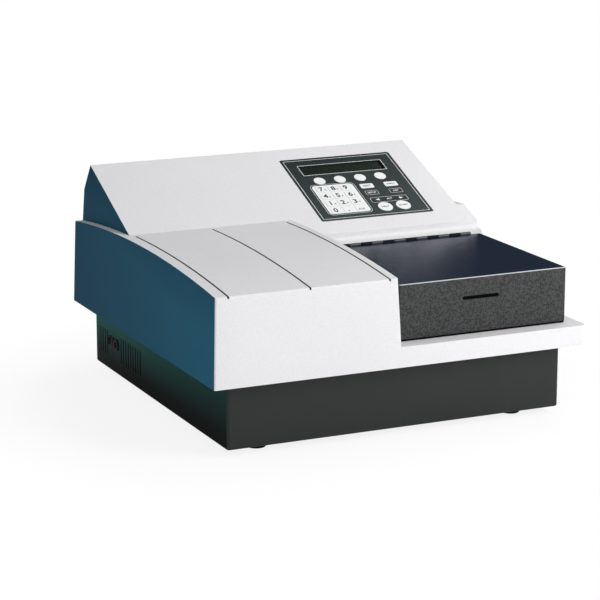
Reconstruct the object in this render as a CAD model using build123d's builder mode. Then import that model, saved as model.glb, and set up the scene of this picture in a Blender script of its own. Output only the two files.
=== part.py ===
from build123d import *
import math
import os

os.makedirs("parts", exist_ok=True)

# Microplate reader. X runs along the front, Y to the rear, Z up, all in millimetres.
# The origin is on the bench, under the middle of the housing.

# Overall housing
WIDTH = 394.0
DEPTH = 382.0
WALL = 3.0
SIDE_DRAFT = 2.35
FRONT_LEAN = 4.6
EDGE_ROUND = 1.6
CORNER_ROUND = 5.0

# Feet and base
FOOT_HEIGHT = 7.0
FOOT_DIAMETER = 20.0
FOOT_IN_X = 40.0
FOOT_IN_Y = 25.0
BASE_SIDE_IN = 20.0
BASE_FRONT_IN = 18.4
BASE_REAR_IN = 10.0
BASE_HEIGHT = 65.0
BASE_WALL = 2.5
BASE_ROUND = 3.0
LIP_COVER = 5.0

# Heights of the housing over its lower edge
DECK_RISE = 19.7
CROWN_EDGE_RISE = 84.9
CROWN_RISE = 11.1

# Hump at the front left and bay at the front right
HUMP_WALL_X = -5.5
SHELF_END_X = 186.5
SHELF_FLARE = 10.5
SHELF_RISE = 75.0
RISER_HEIGHT = 7.6
RISER_Y = 27.0
RISER_ROUND = 4.0

# Console
FOOT_LINE_Y = 55.6
RIDGE_IN = 15.0
SLOPE_ANGLE = 22.7
KNEE_DROP = 27.3
LEDGE = 5.5
CONSOLE_DRAFT = 4.2

# Channels along the crown
GROOVE_WIDTH = 2.0
GROOVE_DEPTH = 2.0
GROOVE_END = 8.0
GROOVES_X = (-180.7, -98.5, -16.6)

# Lid and piano hinge
LID_LEFT = 0.0
LID_RIGHT = 182.1
LID_FRONT = -172.9
LID_GAP = 2.1
LID_TOP_RISE = 75.6
LID_WALL = 2.5
LID_ROUND = 1.4
GRIP_LENGTH = 39.8
GRIP_HEIGHT = 3.6
GRIP_DEPTH = 1.4
GRIP_X = 87.8
GRIP_RISE = 55.6
KNUCKLE_DIAMETER = 3.4
KNUCKLE_PITCH = 12.7
KNUCKLE_COUNT = 13
KNUCKLE_GAP = 1.2
PIN_DIAMETER = 1.6
LEAF_THICKNESS = 0.8
LEAF_LENGTH = 14.0
HINGE_LIFT = 1.2
HINGE_START_X = 6.0
HINGE_CLEAR = 0.5

# Running and seating clearances
RUN_FIT = 0.05
SEAT_FIT = 0.3

# Carriage: chassis, rod, rail, carrier
CHASSIS_THICKNESS = 2.0
CHASSIS_HALF = 170.0
CHASSIS_FRONT = -157.0
CHASSIS_REAR = 6.0
CHASSIS_WING_REAR = 110.0
CHASSIS_WING_RIGHT = -30.0
POST_DIAMETER = 9.0
ROD_DIAMETER = 6.0
ROD_Y = -141.0
ROD_RISE = 9.0
TAB_THICKNESS = 2.0
TAB_WIDTH = 12.0
RAIL_Y = -39.5
RAIL_WIDTH = 6.0
CARRIER_RISE = 8.0
CARRIER_PLATE = 4.0
PLATE_LENGTH = 127.76
PLATE_WIDTH = 85.48
PLATE_CLEAR = 0.4
PLATE_HEIGHT = 14.4
NEST_WALL = 4.0
NEST_HEIGHT = 12.0
NEST_FLOOR = 4.0
NEST_LEDGE = 5.0
LOAD_X = 84.0
PLATE_Y = -86.0
BUSHING_DIAMETER = 9.0
BUSHING_LENGTH = 12.0
BUSHING_SPREAD = 45.0
BUSHING_WALL = 2.0
PATH_CLEAR = 3.0

# Belt drive
PULLEY_Y = -19.0
PULLEY_X = 150.0
PULLEY_RADIUS = 7.7
PULLEY_FLANGE = 2.0
FLANGE_THICKNESS = 1.0
BELT_THICKNESS = 1.4
BELT_WIDTH = 6.0
BELT_RISE = 5.0
SHAFT_DIAMETER = 5.0
MOTOR_SIDE = 42.0
MOTOR_LENGTH = 34.0
MOTOR_PILOT = 22.0

# Optics
READ_X = -62.0
CHANNELS = 8
CHANNEL_PITCH = 9.0
HEAD_WIDTH = 28.0
HEAD_HEIGHT = 14.0
HEAD_CLEAR = 6.0
HEAD_LEG = 8.0
LENS_DIAMETER = 4.0
BUNDLE_DIAMETER = 7.0
MANIFOLD_HEIGHT = 10.0
DIODE_DIAMETER = 6.0
DIODE_HEIGHT = 2.2
BOARD_THICKNESS = 1.6
STANDOFF = 3.0
WHEEL_RADIUS = 42.0
WHEEL_THICKNESS = 6.0
WHEEL_X = -84.0
WHEEL_Y = 62.0
WHEEL_RISE = 46.0
FILTER_COUNT = 6
FILTER_DIAMETER = 20.0
FILTER_THICKNESS = 3.5
FILTER_CIRCLE = 30.0
FILTER_LIP = 1.5
HOLDER_FLOOR = 3.0
HOLDER_WALL = 3.0
LAMP_BLOCK = 36.0
LAMP_GAP = 6.0
LAMP_DIAMETER = 12.0
LAMP_BASE = 16.0
FIN_COUNT = 6
FIN_DEPTH = 6.0
FILTER_MOTOR_SIDE = 35.0
FILTER_MOTOR_LENGTH = 28.0

# Electronics
MAIN_BOARD_X = 84.0
MAIN_BOARD_Y = 88.0
MAIN_BOARD_LENGTH = 160.0
MAIN_BOARD_WIDTH = 150.0
MAIN_BOARD_RISE = 6.0
FAN_SIZE = 50.0
FAN_DEPTH = 15.0
FAN_X = -100.0
FAN_RISE = 33.0
FAN_BORE = 47.0
FAN_HUB = 18.0
FAN_BLADES = 7
PORT_HEIGHT = 12.5
PORT_RISE = 23.0
SERIAL_WIDTH = 31.0
SERIAL_X = 50.0
PARALLEL_WIDTH = 53.0
PARALLEL_X = 108.0
PORT_DEPTH = 5.0

# Vents, switch and inlet on the left side of the base
VENT_WIDTH = 2.3
VENT_LENGTH = 26.7
VENT_PITCH = 6.8
VENT_RISE = 28.2
VENT_FRONT_Y = 50.6
VENT_FRONT_COUNT = 9
VENT_REAR_Y = 145.1
VENT_REAR_COUNT = 4
SWITCH_Y = 133.2
SWITCH_RISE = 31.8
SWITCH_LENGTH = 15.0
SWITCH_HEIGHT = 10.5
SWITCH_RIM = 1.0
SWITCH_BODY_DEPTH = 14.0
ROCKER_ANGLE = 9.0
INLET_Y = 119.0
INLET_RISE = 31.3
INLET_DIAMETER = 12.4
INLET_BORE = 6.4
INLET_PIN = 2.1
INLET_DEPTH = 16.0

# Screws
SCREW_DIAMETER = 4.0
SCREW_HEAD = 8.0
SCREW_HEAD_HEIGHT = 3.0
SCREW_GRIP = 12.0
SCREW_BITE = 9.0
PILLAR_DIAMETER = 12.0

# Keypad, set in the slope; s runs up the slope from the foot line
PANEL_WIDTH = 129.4
PANEL_LENGTH = 117.6
PANEL_X = 88.9
PANEL_S = 50.9
PANEL_ROUND = 2.0
OVERLAY = 1.2
PANEL_BODY = 3.0
PANEL_RIM = 4.0
KEY_PROUD = 0.3
KEY_REST = 0.1
KEY_TRAVEL = 0.5
KEY_FIT = 0.2
WINDOW_X = 88.8
WINDOW_S = 86.9
WINDOW_WIDTH = 95.0
WINDOW_LENGTH = 16.2
WINDOW_THICKNESS = 1.5
WINDOW_SUNK = 2.0
SOFT_X = 52.8
SOFT_PITCH = 23.75
SOFT_S = 65.4
SOFT_DIAMETER = 12.8
NUMBER_X = 48.3
NUMBER_S = 9.4
NUMBER_PITCH_X = 14.2
NUMBER_PITCH_S = 13.3
NUMBER_WIDTH = 12.4
NUMBER_LENGTH = 11.2
KEY_CORNER = 1.4
SIDE_KEY_X = 100.9
SIDE_KEY_PITCH = 28.2
SIDE_KEY_S = 48.9
SIDE_KEY_DROP = 13.3
SIDE_KEY_WIDTH = 15.2
SIDE_KEY_LENGTH = 8.2
ARROW_X = 101.2
ARROW_S = 22.0
ARROW_PITCH = 13.9
ARROW_WIDTH = 11.6
ARROW_LENGTH = 7.0
ROUND_S = 8.4
ROUND_X = (104.3, 125.4)
ROUND_DIAMETER = 15.9

# Levels and edges that follow
BASE_BOTTOM = FOOT_HEIGHT
SEAM_Z = BASE_BOTTOM + BASE_HEIGHT
DECK_Z = SEAM_Z + DECK_RISE
CROWN_EDGE_Z = SEAM_Z + CROWN_EDGE_RISE
SHELF_Z = SEAM_Z + SHELF_RISE
HALF_W = WIDTH / 2
HALF_D = DEPTH / 2
BASE_HALF = HALF_W - BASE_SIDE_IN
BASE_FRONT = -HALF_D + BASE_FRONT_IN
BASE_REAR = HALF_D - BASE_REAR_IN
FLOOR_Z = BASE_BOTTOM + BASE_WALL
LEAN = math.tan(math.radians(SIDE_DRAFT))
CONSOLE_LEAN = math.tan(math.radians(CONSOLE_DRAFT))
CROWN_RADIUS = (HALF_D**2 + CROWN_RISE**2) / (2 * CROWN_RISE)
TALL = WIDTH
BAY_REAR_Y = KNUCKLE_DIAMETER / 2 + HINGE_CLEAR
CHASSIS_TOP = SEAM_Z
CHASSIS_BOTTOM = CHASSIS_TOP - CHASSIS_THICKNESS


def crown_z(y):
    return CROWN_EDGE_Z + CROWN_RISE - CROWN_RADIUS + math.sqrt(CROWN_RADIUS**2 - y**2)


FOOT_LINE_Z = crown_z(FOOT_LINE_Y)
RIDGE_Y = HALF_D - RIDGE_IN
SLOPE = math.tan(math.radians(SLOPE_ANGLE))
RIDGE_Z = FOOT_LINE_Z + (RIDGE_Y - FOOT_LINE_Y) * SLOPE
KNEE_Z = RIDGE_Z - KNEE_DROP
SLOPE_PLANE = Plane(
    origin=(0, FOOT_LINE_Y, FOOT_LINE_Z),
    x_dir=(1, 0, 0),
    z_dir=(0, -math.sin(math.radians(SLOPE_ANGLE)), math.cos(math.radians(SLOPE_ANGLE))),
)


def slope_z(y):
    return FOOT_LINE_Z + (y - FOOT_LINE_Y) * SLOPE


def crown_form(inset, floor):
    """Crowned body of the housing, every face moved inwards by inset, standing on floor."""
    front_low = -HALF_D + inset
    front_high = front_low + FRONT_LEAN
    rear = HALF_D - inset
    reach = HALF_W - inset
    high = KNEE_Z
    with BuildPart() as form:
        with BuildSketch(Plane.YZ):
            with BuildLine():
                Polyline(
                    (front_high, crown_z(front_high) - inset),
                    (front_low, floor),
                    (rear, floor),
                    (rear, crown_z(rear) - inset),
                )
                ThreePointArc(
                    (rear, crown_z(rear) - inset),
                    (0, crown_z(0) - inset),
                    (front_high, crown_z(front_high) - inset),
                )
            make_face()
        extrude(amount=HALF_W, both=True)
        with BuildSketch(Plane.XZ):
            Polygon(
                (-reach, SEAM_Z),
                (reach, SEAM_Z),
                (reach - (high - SEAM_Z) * LEAN, high),
                (-reach + (high - SEAM_Z) * LEAN, high),
                align=None,
            )
        extrude(amount=DEPTH, both=True, mode=Mode.INTERSECT)
    return form.part


def console_form(inset):
    """Sloping console, every face moved inwards by inset; it sinks into the crowned body."""
    rear = HALF_D - inset
    reach = HALF_W - LEDGE - inset
    drop = inset / math.cos(math.radians(SLOPE_ANGLE))
    low = SHELF_Z - RISER_HEIGHT
    ridge_y = RIDGE_Y - inset * math.tan(math.radians(45 - SLOPE_ANGLE))
    with BuildPart() as form:
        with BuildSketch(Plane.YZ):
            Polygon(
                (FOOT_LINE_Y + inset, slope_z(FOOT_LINE_Y + inset) - drop),
                (ridge_y, slope_z(ridge_y) - drop),
                (rear, KNEE_Z),
                (rear, low),
                (FOOT_LINE_Y + inset, low),
                align=None,
            )
        extrude(amount=HALF_W, both=True)
        with BuildSketch(Plane.XZ):
            Polygon(
                (-reach, SEAM_Z),
                (reach, SEAM_Z),
                (reach - (RIDGE_Z + WALL - SEAM_Z) * CONSOLE_LEAN, RIDGE_Z + WALL),
                (-reach + (RIDGE_Z + WALL - SEAM_Z) * CONSOLE_LEAN, RIDGE_Z + WALL),
                align=None,
            )
        extrude(amount=DEPTH, both=True, mode=Mode.INTERSECT)
    return form.part


def bay_form(grow):
    """What is taken off at the front right: lid bay, hinge shelf, riser and low slope."""
    left = HUMP_WALL_X - grow
    with BuildPart() as form:
        with BuildSketch(Plane.YZ) as profile:
            with BuildLine():
                Polyline(
                    (-TALL, DECK_Z - grow),
                    (BAY_REAR_Y + grow, DECK_Z - grow),
                    (BAY_REAR_Y + grow, SHELF_Z - grow),
                    (RISER_Y + grow, SHELF_Z - grow),
                    (RISER_Y + grow, slope_z(RISER_Y + grow) - grow * 1.08),
                    (FOOT_LINE_Y, slope_z(FOOT_LINE_Y) - grow * 1.08),
                    (FOOT_LINE_Y, TALL),
                    (-TALL, TALL),
                    close=True,
                )
            make_face()
            inner = profile.vertices().filter_by(
                lambda v: abs(v.Y - (SHELF_Z - grow)) < 0.01 and v.X > RISER_Y - 0.01
            )
            fillet(inner, RISER_ROUND)
        extrude(amount=TALL, both=True)
        with BuildSketch(Plane.XZ):
            Polygon(
                (left, DECK_Z - grow),
                (left - (TALL - DECK_Z + grow) * LEAN, TALL),
                (TALL, TALL),
                (TALL, DECK_Z - grow),
                align=None,
            )
        extrude(amount=2 * TALL, both=True, mode=Mode.INTERSECT)
        # Right-hand end of the hinge shelf, flared from the lid's width to the side wall
        flare = SHELF_FLARE / (RISER_Y - BAY_REAR_Y)
        rear = RISER_Y + grow
        end = SHELF_END_X - grow * math.hypot(1, flare)
        with BuildSketch(Plane.XY.offset(DECK_Z - grow)):
            Polygon(
                (end - flare, BAY_REAR_Y - 1),
                (end + (rear - BAY_REAR_Y) * flare, rear),
                (TALL, rear),
                (TALL, BAY_REAR_Y - 1),
                align=None,
            )
        extrude(amount=SHELF_Z - DECK_Z + 2 * grow)
    return form.part


def pick(part, kind, *tests):
    """Edges of the given kind whose middle lies within the given ranges."""
    found = ShapeList()
    for edge in part.edges():
        middle = edge @ 0.5
        if edge.geom_type == kind or kind is None:
            if all(low <= getattr(middle, axis) <= high for axis, low, high in tests):
                found.append(edge)
    return found


def bar(x_range, y_range, z_range, mode=Mode.ADD):
    """Rectangular solid between three pairs of limits."""
    with BuildSketch(Plane.XY.offset(z_range[0])) as section:
        with Locations(((x_range[0] + x_range[1]) / 2, (y_range[0] + y_range[1]) / 2)):
            Rectangle(x_range[1] - x_range[0], y_range[1] - y_range[0])
    extrude(section.sketch, amount=z_range[1] - z_range[0], mode=mode)


def write(part, name):
    part.label = name
    export_step(part, f"parts/{name}.step")


# Places shared by several pieces
PILLAR_X = BASE_HALF - BASE_WALL - PILLAR_DIAMETER / 2 + 0.3
PILLARS = [
    (side * PILLAR_X, y)
    for side in (-1, 1)
    for y in (
        BASE_FRONT + BASE_WALL + PILLAR_DIAMETER / 2 - 0.3,
        BASE_REAR - BASE_WALL - PILLAR_DIAMETER / 2 + 0.3,
    )
]
NEST_X = PLATE_LENGTH + PLATE_CLEAR + 2 * NEST_WALL
NEST_Y = PLATE_WIDTH + PLATE_CLEAR + 2 * NEST_WALL
NEST_FRONT = PLATE_Y - NEST_Y / 2
NEST_REAR = PLATE_Y + NEST_Y / 2
CARRIER_Z = CHASSIS_TOP + CARRIER_RISE
NEST_BASE_Z = CARRIER_Z + CARRIER_PLATE
SEAT_Z = NEST_BASE_Z + NEST_FLOOR
PATH_FRONT = NEST_FRONT - PATH_CLEAR
PATH_REAR = NEST_REAR + PATH_CLEAR
PATH_TOP = SEAT_Z + PLATE_HEIGHT + PATH_CLEAR
PATH_RIGHT = LOAD_X + NEST_X / 2 + 2 * PATH_CLEAR
ROD_Z = CHASSIS_TOP + ROD_RISE
PANEL_DEPTH = OVERLAY + PANEL_BODY
HINGE_Z = SHELF_Z + HINGE_LIFT
LID_BOTTOM = DECK_Z + LID_GAP
LID_TOP = SEAM_Z + LID_TOP_RISE
LID_REAR = -BAY_REAR_Y
BELT_Z = CHASSIS_TOP + BELT_RISE
BELT_INNER = PULLEY_RADIUS + SEAT_FIT
BELT_OUTER = BELT_INNER + BELT_THICKNESS
MOTOR_X = -PULLEY_X
BEAM_Y = WHEEL_Y - FILTER_CIRCLE
BEAM_Z = CHASSIS_TOP + WHEEL_RISE
UPRIGHT_X = WHEEL_X + WHEEL_THICKNESS / 2 + LAMP_GAP
SWITCH_Z = BASE_BOTTOM + SWITCH_RISE
INLET_Z = BASE_BOTTOM + INLET_RISE
FAN_Z = BASE_BOTTOM + FAN_RISE
PORT_Z = BASE_BOTTOM + PORT_RISE
FEET = [
    (side * (BASE_HALF - FOOT_IN_X), y)
    for side in (-1, 1)
    for y in (BASE_FRONT + FOOT_IN_Y, BASE_REAR - FOOT_IN_Y)
]
POSTS = [(x, CHASSIS_FRONT + 9) for x in (-155, -50, 50, 155)]
POSTS += [(x, CHASSIS_REAR - 9) for x in (-100, 20, 155)]
POSTS += [(x, CHASSIS_WING_REAR - 10) for x in (-160, -40)]
BOARD_CORNERS = [
    (MAIN_BOARD_X + i * (MAIN_BOARD_LENGTH / 2 - 6), MAIN_BOARD_Y + j * (MAIN_BOARD_WIDTH / 2 - 6))
    for i in (-1, 1)
    for j in (-1, 1)
]

# Upper housing: crowned, drafted moulding, hollow, open at the bottom inside a narrow lip
core = crown_form(WALL, SEAM_Z + WALL) + console_form(WALL) - bay_form(WALL)
outer = crown_form(0, SEAM_Z)
console = console_form(0)
bay = bay_form(0)
with BuildPart() as top_housing:
    add(outer)
    add(console)
    add(bay, mode=Mode.SUBTRACT)
    corner = pick(
        top_housing.part,
        None,
        ("X", HALF_W - 2, HALF_W + 1),
        ("Y", -HALF_D, -HALF_D + 3),
        ("Z", SEAM_Z + 5, DECK_Z - 5),
    )
    fillet(corner, CORNER_ROUND)
    rims = pick(
        top_housing.part, None, ("X", -HALF_W, HUMP_WALL_X + 1), ("Y", -HALF_D, -HALF_D + 6), ("Z", DECK_Z, KNEE_Z)
    )
    fillet(rims, EDGE_ROUND)
    add(core, mode=Mode.SUBTRACT)
    bar(
        (-BASE_HALF + LIP_COVER, BASE_HALF - LIP_COVER),
        (BASE_FRONT + LIP_COVER, BASE_REAR - LIP_COVER),
        (SEAM_Z, SEAM_Z + WALL),
        Mode.SUBTRACT,
    )
    # Opening in the deck and passage through the wall of the hump, for the plate carrier
    bar(
        (HUMP_WALL_X - 3 * WALL, PATH_RIGHT),
        (PATH_FRONT, PATH_REAR),
        (DECK_Z - WALL - 1, DECK_Z + 1),
        Mode.SUBTRACT,
    )
    bar((HUMP_WALL_X - 3 * WALL, HUMP_WALL_X + 1), (PATH_FRONT, PATH_REAR), (DECK_Z - 1, PATH_TOP), Mode.SUBTRACT)
    # Three channels along the crown, open at the front
    groove_end = FOOT_LINE_Y - GROOVE_END
    for groove_x in GROOVES_X:
        with BuildSketch(Plane.YZ.offset(groove_x)):
            with BuildLine():
                ThreePointArc(
                    (-HALF_D - 1, crown_z(-HALF_D - 1) - GROOVE_DEPTH),
                    (-HALF_D / 3, crown_z(-HALF_D / 3) - GROOVE_DEPTH),
                    (groove_end, crown_z(groove_end) - GROOVE_DEPTH),
                )
                Polyline(
                    (groove_end, crown_z(groove_end) - GROOVE_DEPTH),
                    (groove_end, FOOT_LINE_Z + CROWN_RISE),
                    (-HALF_D - 1, FOOT_LINE_Z + CROWN_RISE),
                    (-HALF_D - 1, crown_z(-HALF_D - 1) - GROOVE_DEPTH),
                )
            make_face()
        extrude(amount=GROOVE_WIDTH / 2, both=True, mode=Mode.SUBTRACT)
    # Pocket and opening for the keypad panel
    with BuildSketch(SLOPE_PLANE):
        with Locations((PANEL_X, PANEL_S)):
            RectangleRounded(PANEL_WIDTH + 2 * KEY_FIT, PANEL_LENGTH + 2 * KEY_FIT, PANEL_ROUND + KEY_FIT)
    extrude(amount=-OVERLAY, mode=Mode.SUBTRACT)
    with BuildSketch(SLOPE_PLANE):
        with Locations((PANEL_X, PANEL_S)):
            Rectangle(PANEL_WIDTH - 2 * PANEL_RIM, PANEL_LENGTH - 2 * PANEL_RIM)
    extrude(amount=-4 * WALL, mode=Mode.SUBTRACT)
    # Screw bosses with a web to the side wall
    for x, y in PILLARS:
        with BuildSketch(Plane.XY.offset(SEAM_Z)):
            with Locations((x, y)):
                Circle(PILLAR_DIAMETER / 2)
            with Locations(((x + math.copysign(HALF_W - WALL, x)) / 2, y)):
                Rectangle(HALF_W - WALL - abs(x) + 1, WALL)
        extrude(amount=SCREW_GRIP)
        with BuildSketch(Plane.XY.offset(SEAM_Z)):
            with Locations((x, y)):
                Circle(SCREW_DIAMETER / 2 + RUN_FIT)
        extrude(amount=SCREW_BITE + 1, mode=Mode.SUBTRACT)
write(top_housing.part, "top_housing")

# Base pan: tray with pillars, posts, vents and the cut-outs for the connectors
with BuildPart() as base_pan:
    base_mid = (BASE_FRONT + BASE_REAR) / 2
    with BuildSketch(Plane.XY.offset(BASE_BOTTOM)):
        with Locations((0, base_mid)):
            RectangleRounded(2 * BASE_HALF, BASE_REAR - BASE_FRONT, BASE_ROUND)
    extrude(amount=BASE_HEIGHT)
    fillet(base_pan.faces().sort_by(Axis.Z)[0].edges(), BASE_WALL - 0.5)
    bar(
        (-BASE_HALF + BASE_WALL, BASE_HALF - BASE_WALL),
        (BASE_FRONT + BASE_WALL, BASE_REAR - BASE_WALL),
        (FLOOR_Z, SEAM_Z),
        Mode.SUBTRACT,
    )
    with BuildSketch(Plane.XY.offset(FLOOR_Z)):
        with Locations(*PILLARS):
            Circle(PILLAR_DIAMETER / 2)
    extrude(amount=SEAM_Z - FLOOR_Z)
    with BuildSketch(Plane.XY.offset(FLOOR_Z)):
        with Locations(*POSTS):
            Circle(POST_DIAMETER / 2)
    extrude(amount=CHASSIS_BOTTOM - FLOOR_Z)
    with BuildSketch(Plane.XY.offset(FLOOR_Z)):
        with Locations(*BOARD_CORNERS):
            Circle(POST_DIAMETER / 2)
    extrude(amount=MAIN_BOARD_RISE)
    with BuildSketch(Plane.XY.offset(BASE_BOTTOM)):
        with Locations(*PILLARS):
            Circle(SCREW_HEAD / 2 + SEAT_FIT)
    extrude(amount=BASE_HEIGHT - SCREW_GRIP, mode=Mode.SUBTRACT)
    with BuildSketch(Plane.XY.offset(SEAM_Z)):
        with Locations(*PILLARS):
            Circle(SCREW_DIAMETER / 2 + SEAT_FIT)
    extrude(amount=-SCREW_GRIP - 1, mode=Mode.SUBTRACT)
    # Left side: two rows of vents, switch and power inlet
    vents = [(VENT_FRONT_Y + i * VENT_PITCH, BASE_BOTTOM + VENT_RISE) for i in range(VENT_FRONT_COUNT)]
    vents_rear = [(VENT_REAR_Y + i * VENT_PITCH, BASE_BOTTOM + VENT_RISE) for i in range(VENT_REAR_COUNT)]
    with BuildSketch(Plane.YZ.offset(-BASE_HALF)):
        with Locations(*vents, *vents_rear):
            SlotOverall(VENT_LENGTH, VENT_WIDTH, rotation=90)
        with Locations((SWITCH_Y, SWITCH_Z)):
            Rectangle(SWITCH_LENGTH - 2 * SWITCH_RIM + 0.2, SWITCH_HEIGHT - 2 * SWITCH_RIM + 0.2)
        with Locations((INLET_Y, INLET_Z)):
            Circle(INLET_DIAMETER / 2 - SWITCH_RIM + 0.1)
    extrude(amount=BASE_WALL, mode=Mode.SUBTRACT)
    # Right side: one row of vents
    with BuildSketch(Plane.YZ.offset(BASE_HALF)):
        with Locations(*vents):
            SlotOverall(VENT_LENGTH, VENT_WIDTH, rotation=90)
    extrude(amount=-BASE_WALL, mode=Mode.SUBTRACT)
    # Rear: fan grille and data connectors
    with BuildSketch(Plane.XZ.offset(-BASE_REAR)):
        bars = int(FAN_BORE / 2 / (2 * VENT_WIDTH))
        for i in range(-bars, bars + 1):
            offset_x = i * 2 * VENT_WIDTH
            chord = 2 * math.sqrt((FAN_BORE / 2) ** 2 - offset_x**2) - VENT_WIDTH
            with Locations((FAN_X + offset_x, FAN_Z)):
                SlotOverall(chord, VENT_WIDTH, rotation=90)
        for port_x, port_w in ((SERIAL_X, SERIAL_WIDTH), (PARALLEL_X, PARALLEL_WIDTH)):
            with Locations((port_x, PORT_Z)):
                Rectangle(port_w + 0.4, PORT_HEIGHT + 0.4)
    extrude(amount=BASE_WALL, mode=Mode.SUBTRACT)
write(base_pan.part, "base_pan")

with BuildPart() as rubber_feet:
    with BuildSketch():
        with Locations(*FEET):
            Circle(FOOT_DIAMETER / 2)
    extrude(amount=FOOT_HEIGHT)
    chamfer(rubber_feet.faces().group_by(Axis.Z)[0].edges(), 1.2)
write(rubber_feet.part, "rubber_feet")

with BuildPart() as case_screws:
    head_z = SEAM_Z - SCREW_GRIP
    with BuildSketch(Plane.XY.offset(head_z - SCREW_HEAD_HEIGHT)):
        with Locations(*PILLARS):
            Circle(SCREW_HEAD / 2)
    extrude(amount=SCREW_HEAD_HEIGHT)
    with BuildSketch(Plane.XY.offset(head_z)):
        with Locations(*PILLARS):
            Circle(SCREW_DIAMETER / 2)
    extrude(amount=SCREW_GRIP + SCREW_BITE)
    with BuildSketch(Plane.XY.offset(head_z - SCREW_HEAD_HEIGHT)):
        with Locations(*PILLARS):
            RegularPolygon(SCREW_DIAMETER / 2, 6)
    extrude(amount=SCREW_HEAD_HEIGHT / 2, mode=Mode.SUBTRACT)
write(case_screws.part, "case_screws")

# Chassis plate with bent tabs for the rod and a stud for the idler
with BuildPart() as mechanism_plate:
    bar((-CHASSIS_HALF, CHASSIS_HALF), (CHASSIS_FRONT, CHASSIS_REAR), (CHASSIS_BOTTOM, CHASSIS_TOP))
    bar(
        (-CHASSIS_HALF, CHASSIS_WING_RIGHT),
        (CHASSIS_REAR - 1, CHASSIS_WING_REAR),
        (CHASSIS_BOTTOM, CHASSIS_TOP),
    )
    with BuildSketch(Plane.XY.offset(CHASSIS_BOTTOM)):
        with Locations((MOTOR_X, PULLEY_Y)):
            Circle(MOTOR_PILOT / 2 + SEAT_FIT)
    extrude(amount=CHASSIS_THICKNESS, mode=Mode.SUBTRACT)
    for side in (-1, 1):
        with BuildSketch(Plane.YZ.offset(side * CHASSIS_HALF)):
            with Locations((ROD_Y, (CHASSIS_BOTTOM + ROD_Z) / 2)):
                Rectangle(TAB_WIDTH, ROD_Z - CHASSIS_BOTTOM)
            with Locations((ROD_Y, ROD_Z)):
                Circle(TAB_WIDTH / 2)
                Circle(ROD_DIAMETER / 2 + RUN_FIT, mode=Mode.SUBTRACT)
        extrude(amount=-side * TAB_THICKNESS)
    with BuildSketch(Plane.XY.offset(CHASSIS_TOP)):
        with Locations((PULLEY_X, PULLEY_Y)):
            Circle(SHAFT_DIAMETER / 2)
    extrude(amount=BELT_RISE + BELT_WIDTH + 2)
write(mechanism_plate.part, "mechanism_plate")

with BuildPart() as guide_rod:
    with BuildSketch(Plane.YZ.offset(-CHASSIS_HALF - 1)):
        with Locations((ROD_Y, ROD_Z)):
            Circle(ROD_DIAMETER / 2)
    extrude(amount=2 * CHASSIS_HALF + 2)
write(guide_rod.part, "guide_rod")

with BuildPart() as support_rail:
    rail_top = CARRIER_Z - SEAT_FIT
    bar(
        (-CHASSIS_HALF + TAB_THICKNESS, CHASSIS_HALF - TAB_THICKNESS),
        (RAIL_Y - RAIL_WIDTH / 2, RAIL_Y + RAIL_WIDTH / 2),
        (CHASSIS_TOP, rail_top),
    )
    chamfer(support_rail.faces().sort_by(Axis.Z)[-1].edges().filter_by(Axis.X), 0.8)
write(support_rail.part, "support_rail")

# Plate carrier: open nest for the plate, two bushing bosses on the rod, clamp at the belt
with BuildPart() as plate_carrier:
    nest_x = (LOAD_X - NEST_X / 2, LOAD_X + NEST_X / 2)
    bar(nest_x, (NEST_FRONT, NEST_REAR), (CARRIER_Z, NEST_BASE_Z + NEST_HEIGHT))
    for centre_x in (LOAD_X - BUSHING_SPREAD, LOAD_X + BUSHING_SPREAD):
        with BuildSketch(Plane.YZ.offset(centre_x)):
            with Locations((ROD_Y, ROD_Z)):
                Circle(BUSHING_DIAMETER / 2 + BUSHING_WALL)
            with Locations(((ROD_Y + NEST_FRONT) / 2, (CARRIER_Z + NEST_BASE_Z) / 2)):
                Rectangle(NEST_FRONT - ROD_Y + 2, CARRIER_PLATE)
        extrude(amount=BUSHING_LENGTH / 2, both=True)
        with BuildSketch(Plane.YZ.offset(centre_x)):
            with Locations((ROD_Y, ROD_Z)):
                Circle(BUSHING_DIAMETER / 2 + RUN_FIT)
        extrude(amount=BUSHING_LENGTH / 2, both=True, mode=Mode.SUBTRACT)
    clamp_y = PULLEY_Y - BELT_OUTER - SEAT_FIT
    bar((LOAD_X - 12, LOAD_X + 12), (NEST_REAR - 1, clamp_y), (CARRIER_Z, NEST_BASE_Z))
    bar((LOAD_X - 12, LOAD_X + 12), (clamp_y - 3, clamp_y), (BELT_Z, BELT_Z + BELT_WIDTH))
    with BuildSketch(Plane.XY.offset(SEAT_Z)):
        with Locations((LOAD_X, PLATE_Y)):
            RectangleRounded(PLATE_LENGTH + PLATE_CLEAR, PLATE_WIDTH + PLATE_CLEAR, 3)
    extrude(amount=NEST_HEIGHT, mode=Mode.SUBTRACT)
    with BuildSketch(Plane.XY.offset(CARRIER_Z)):
        with Locations((LOAD_X, PLATE_Y)):
            RectangleRounded(PLATE_LENGTH - 2 * NEST_LEDGE, PLATE_WIDTH - 2 * NEST_LEDGE, 3)
    extrude(amount=CARRIER_PLATE + NEST_FLOOR, mode=Mode.SUBTRACT)
    # Finger notches in the long walls of the nest
    with BuildSketch(Plane.XY.offset(SEAT_Z)):
        with Locations((LOAD_X, PLATE_Y)):
            Rectangle(26, NEST_Y + 2)
    extrude(amount=NEST_HEIGHT, mode=Mode.SUBTRACT)
write(plate_carrier.part, "plate_carrier")

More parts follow.
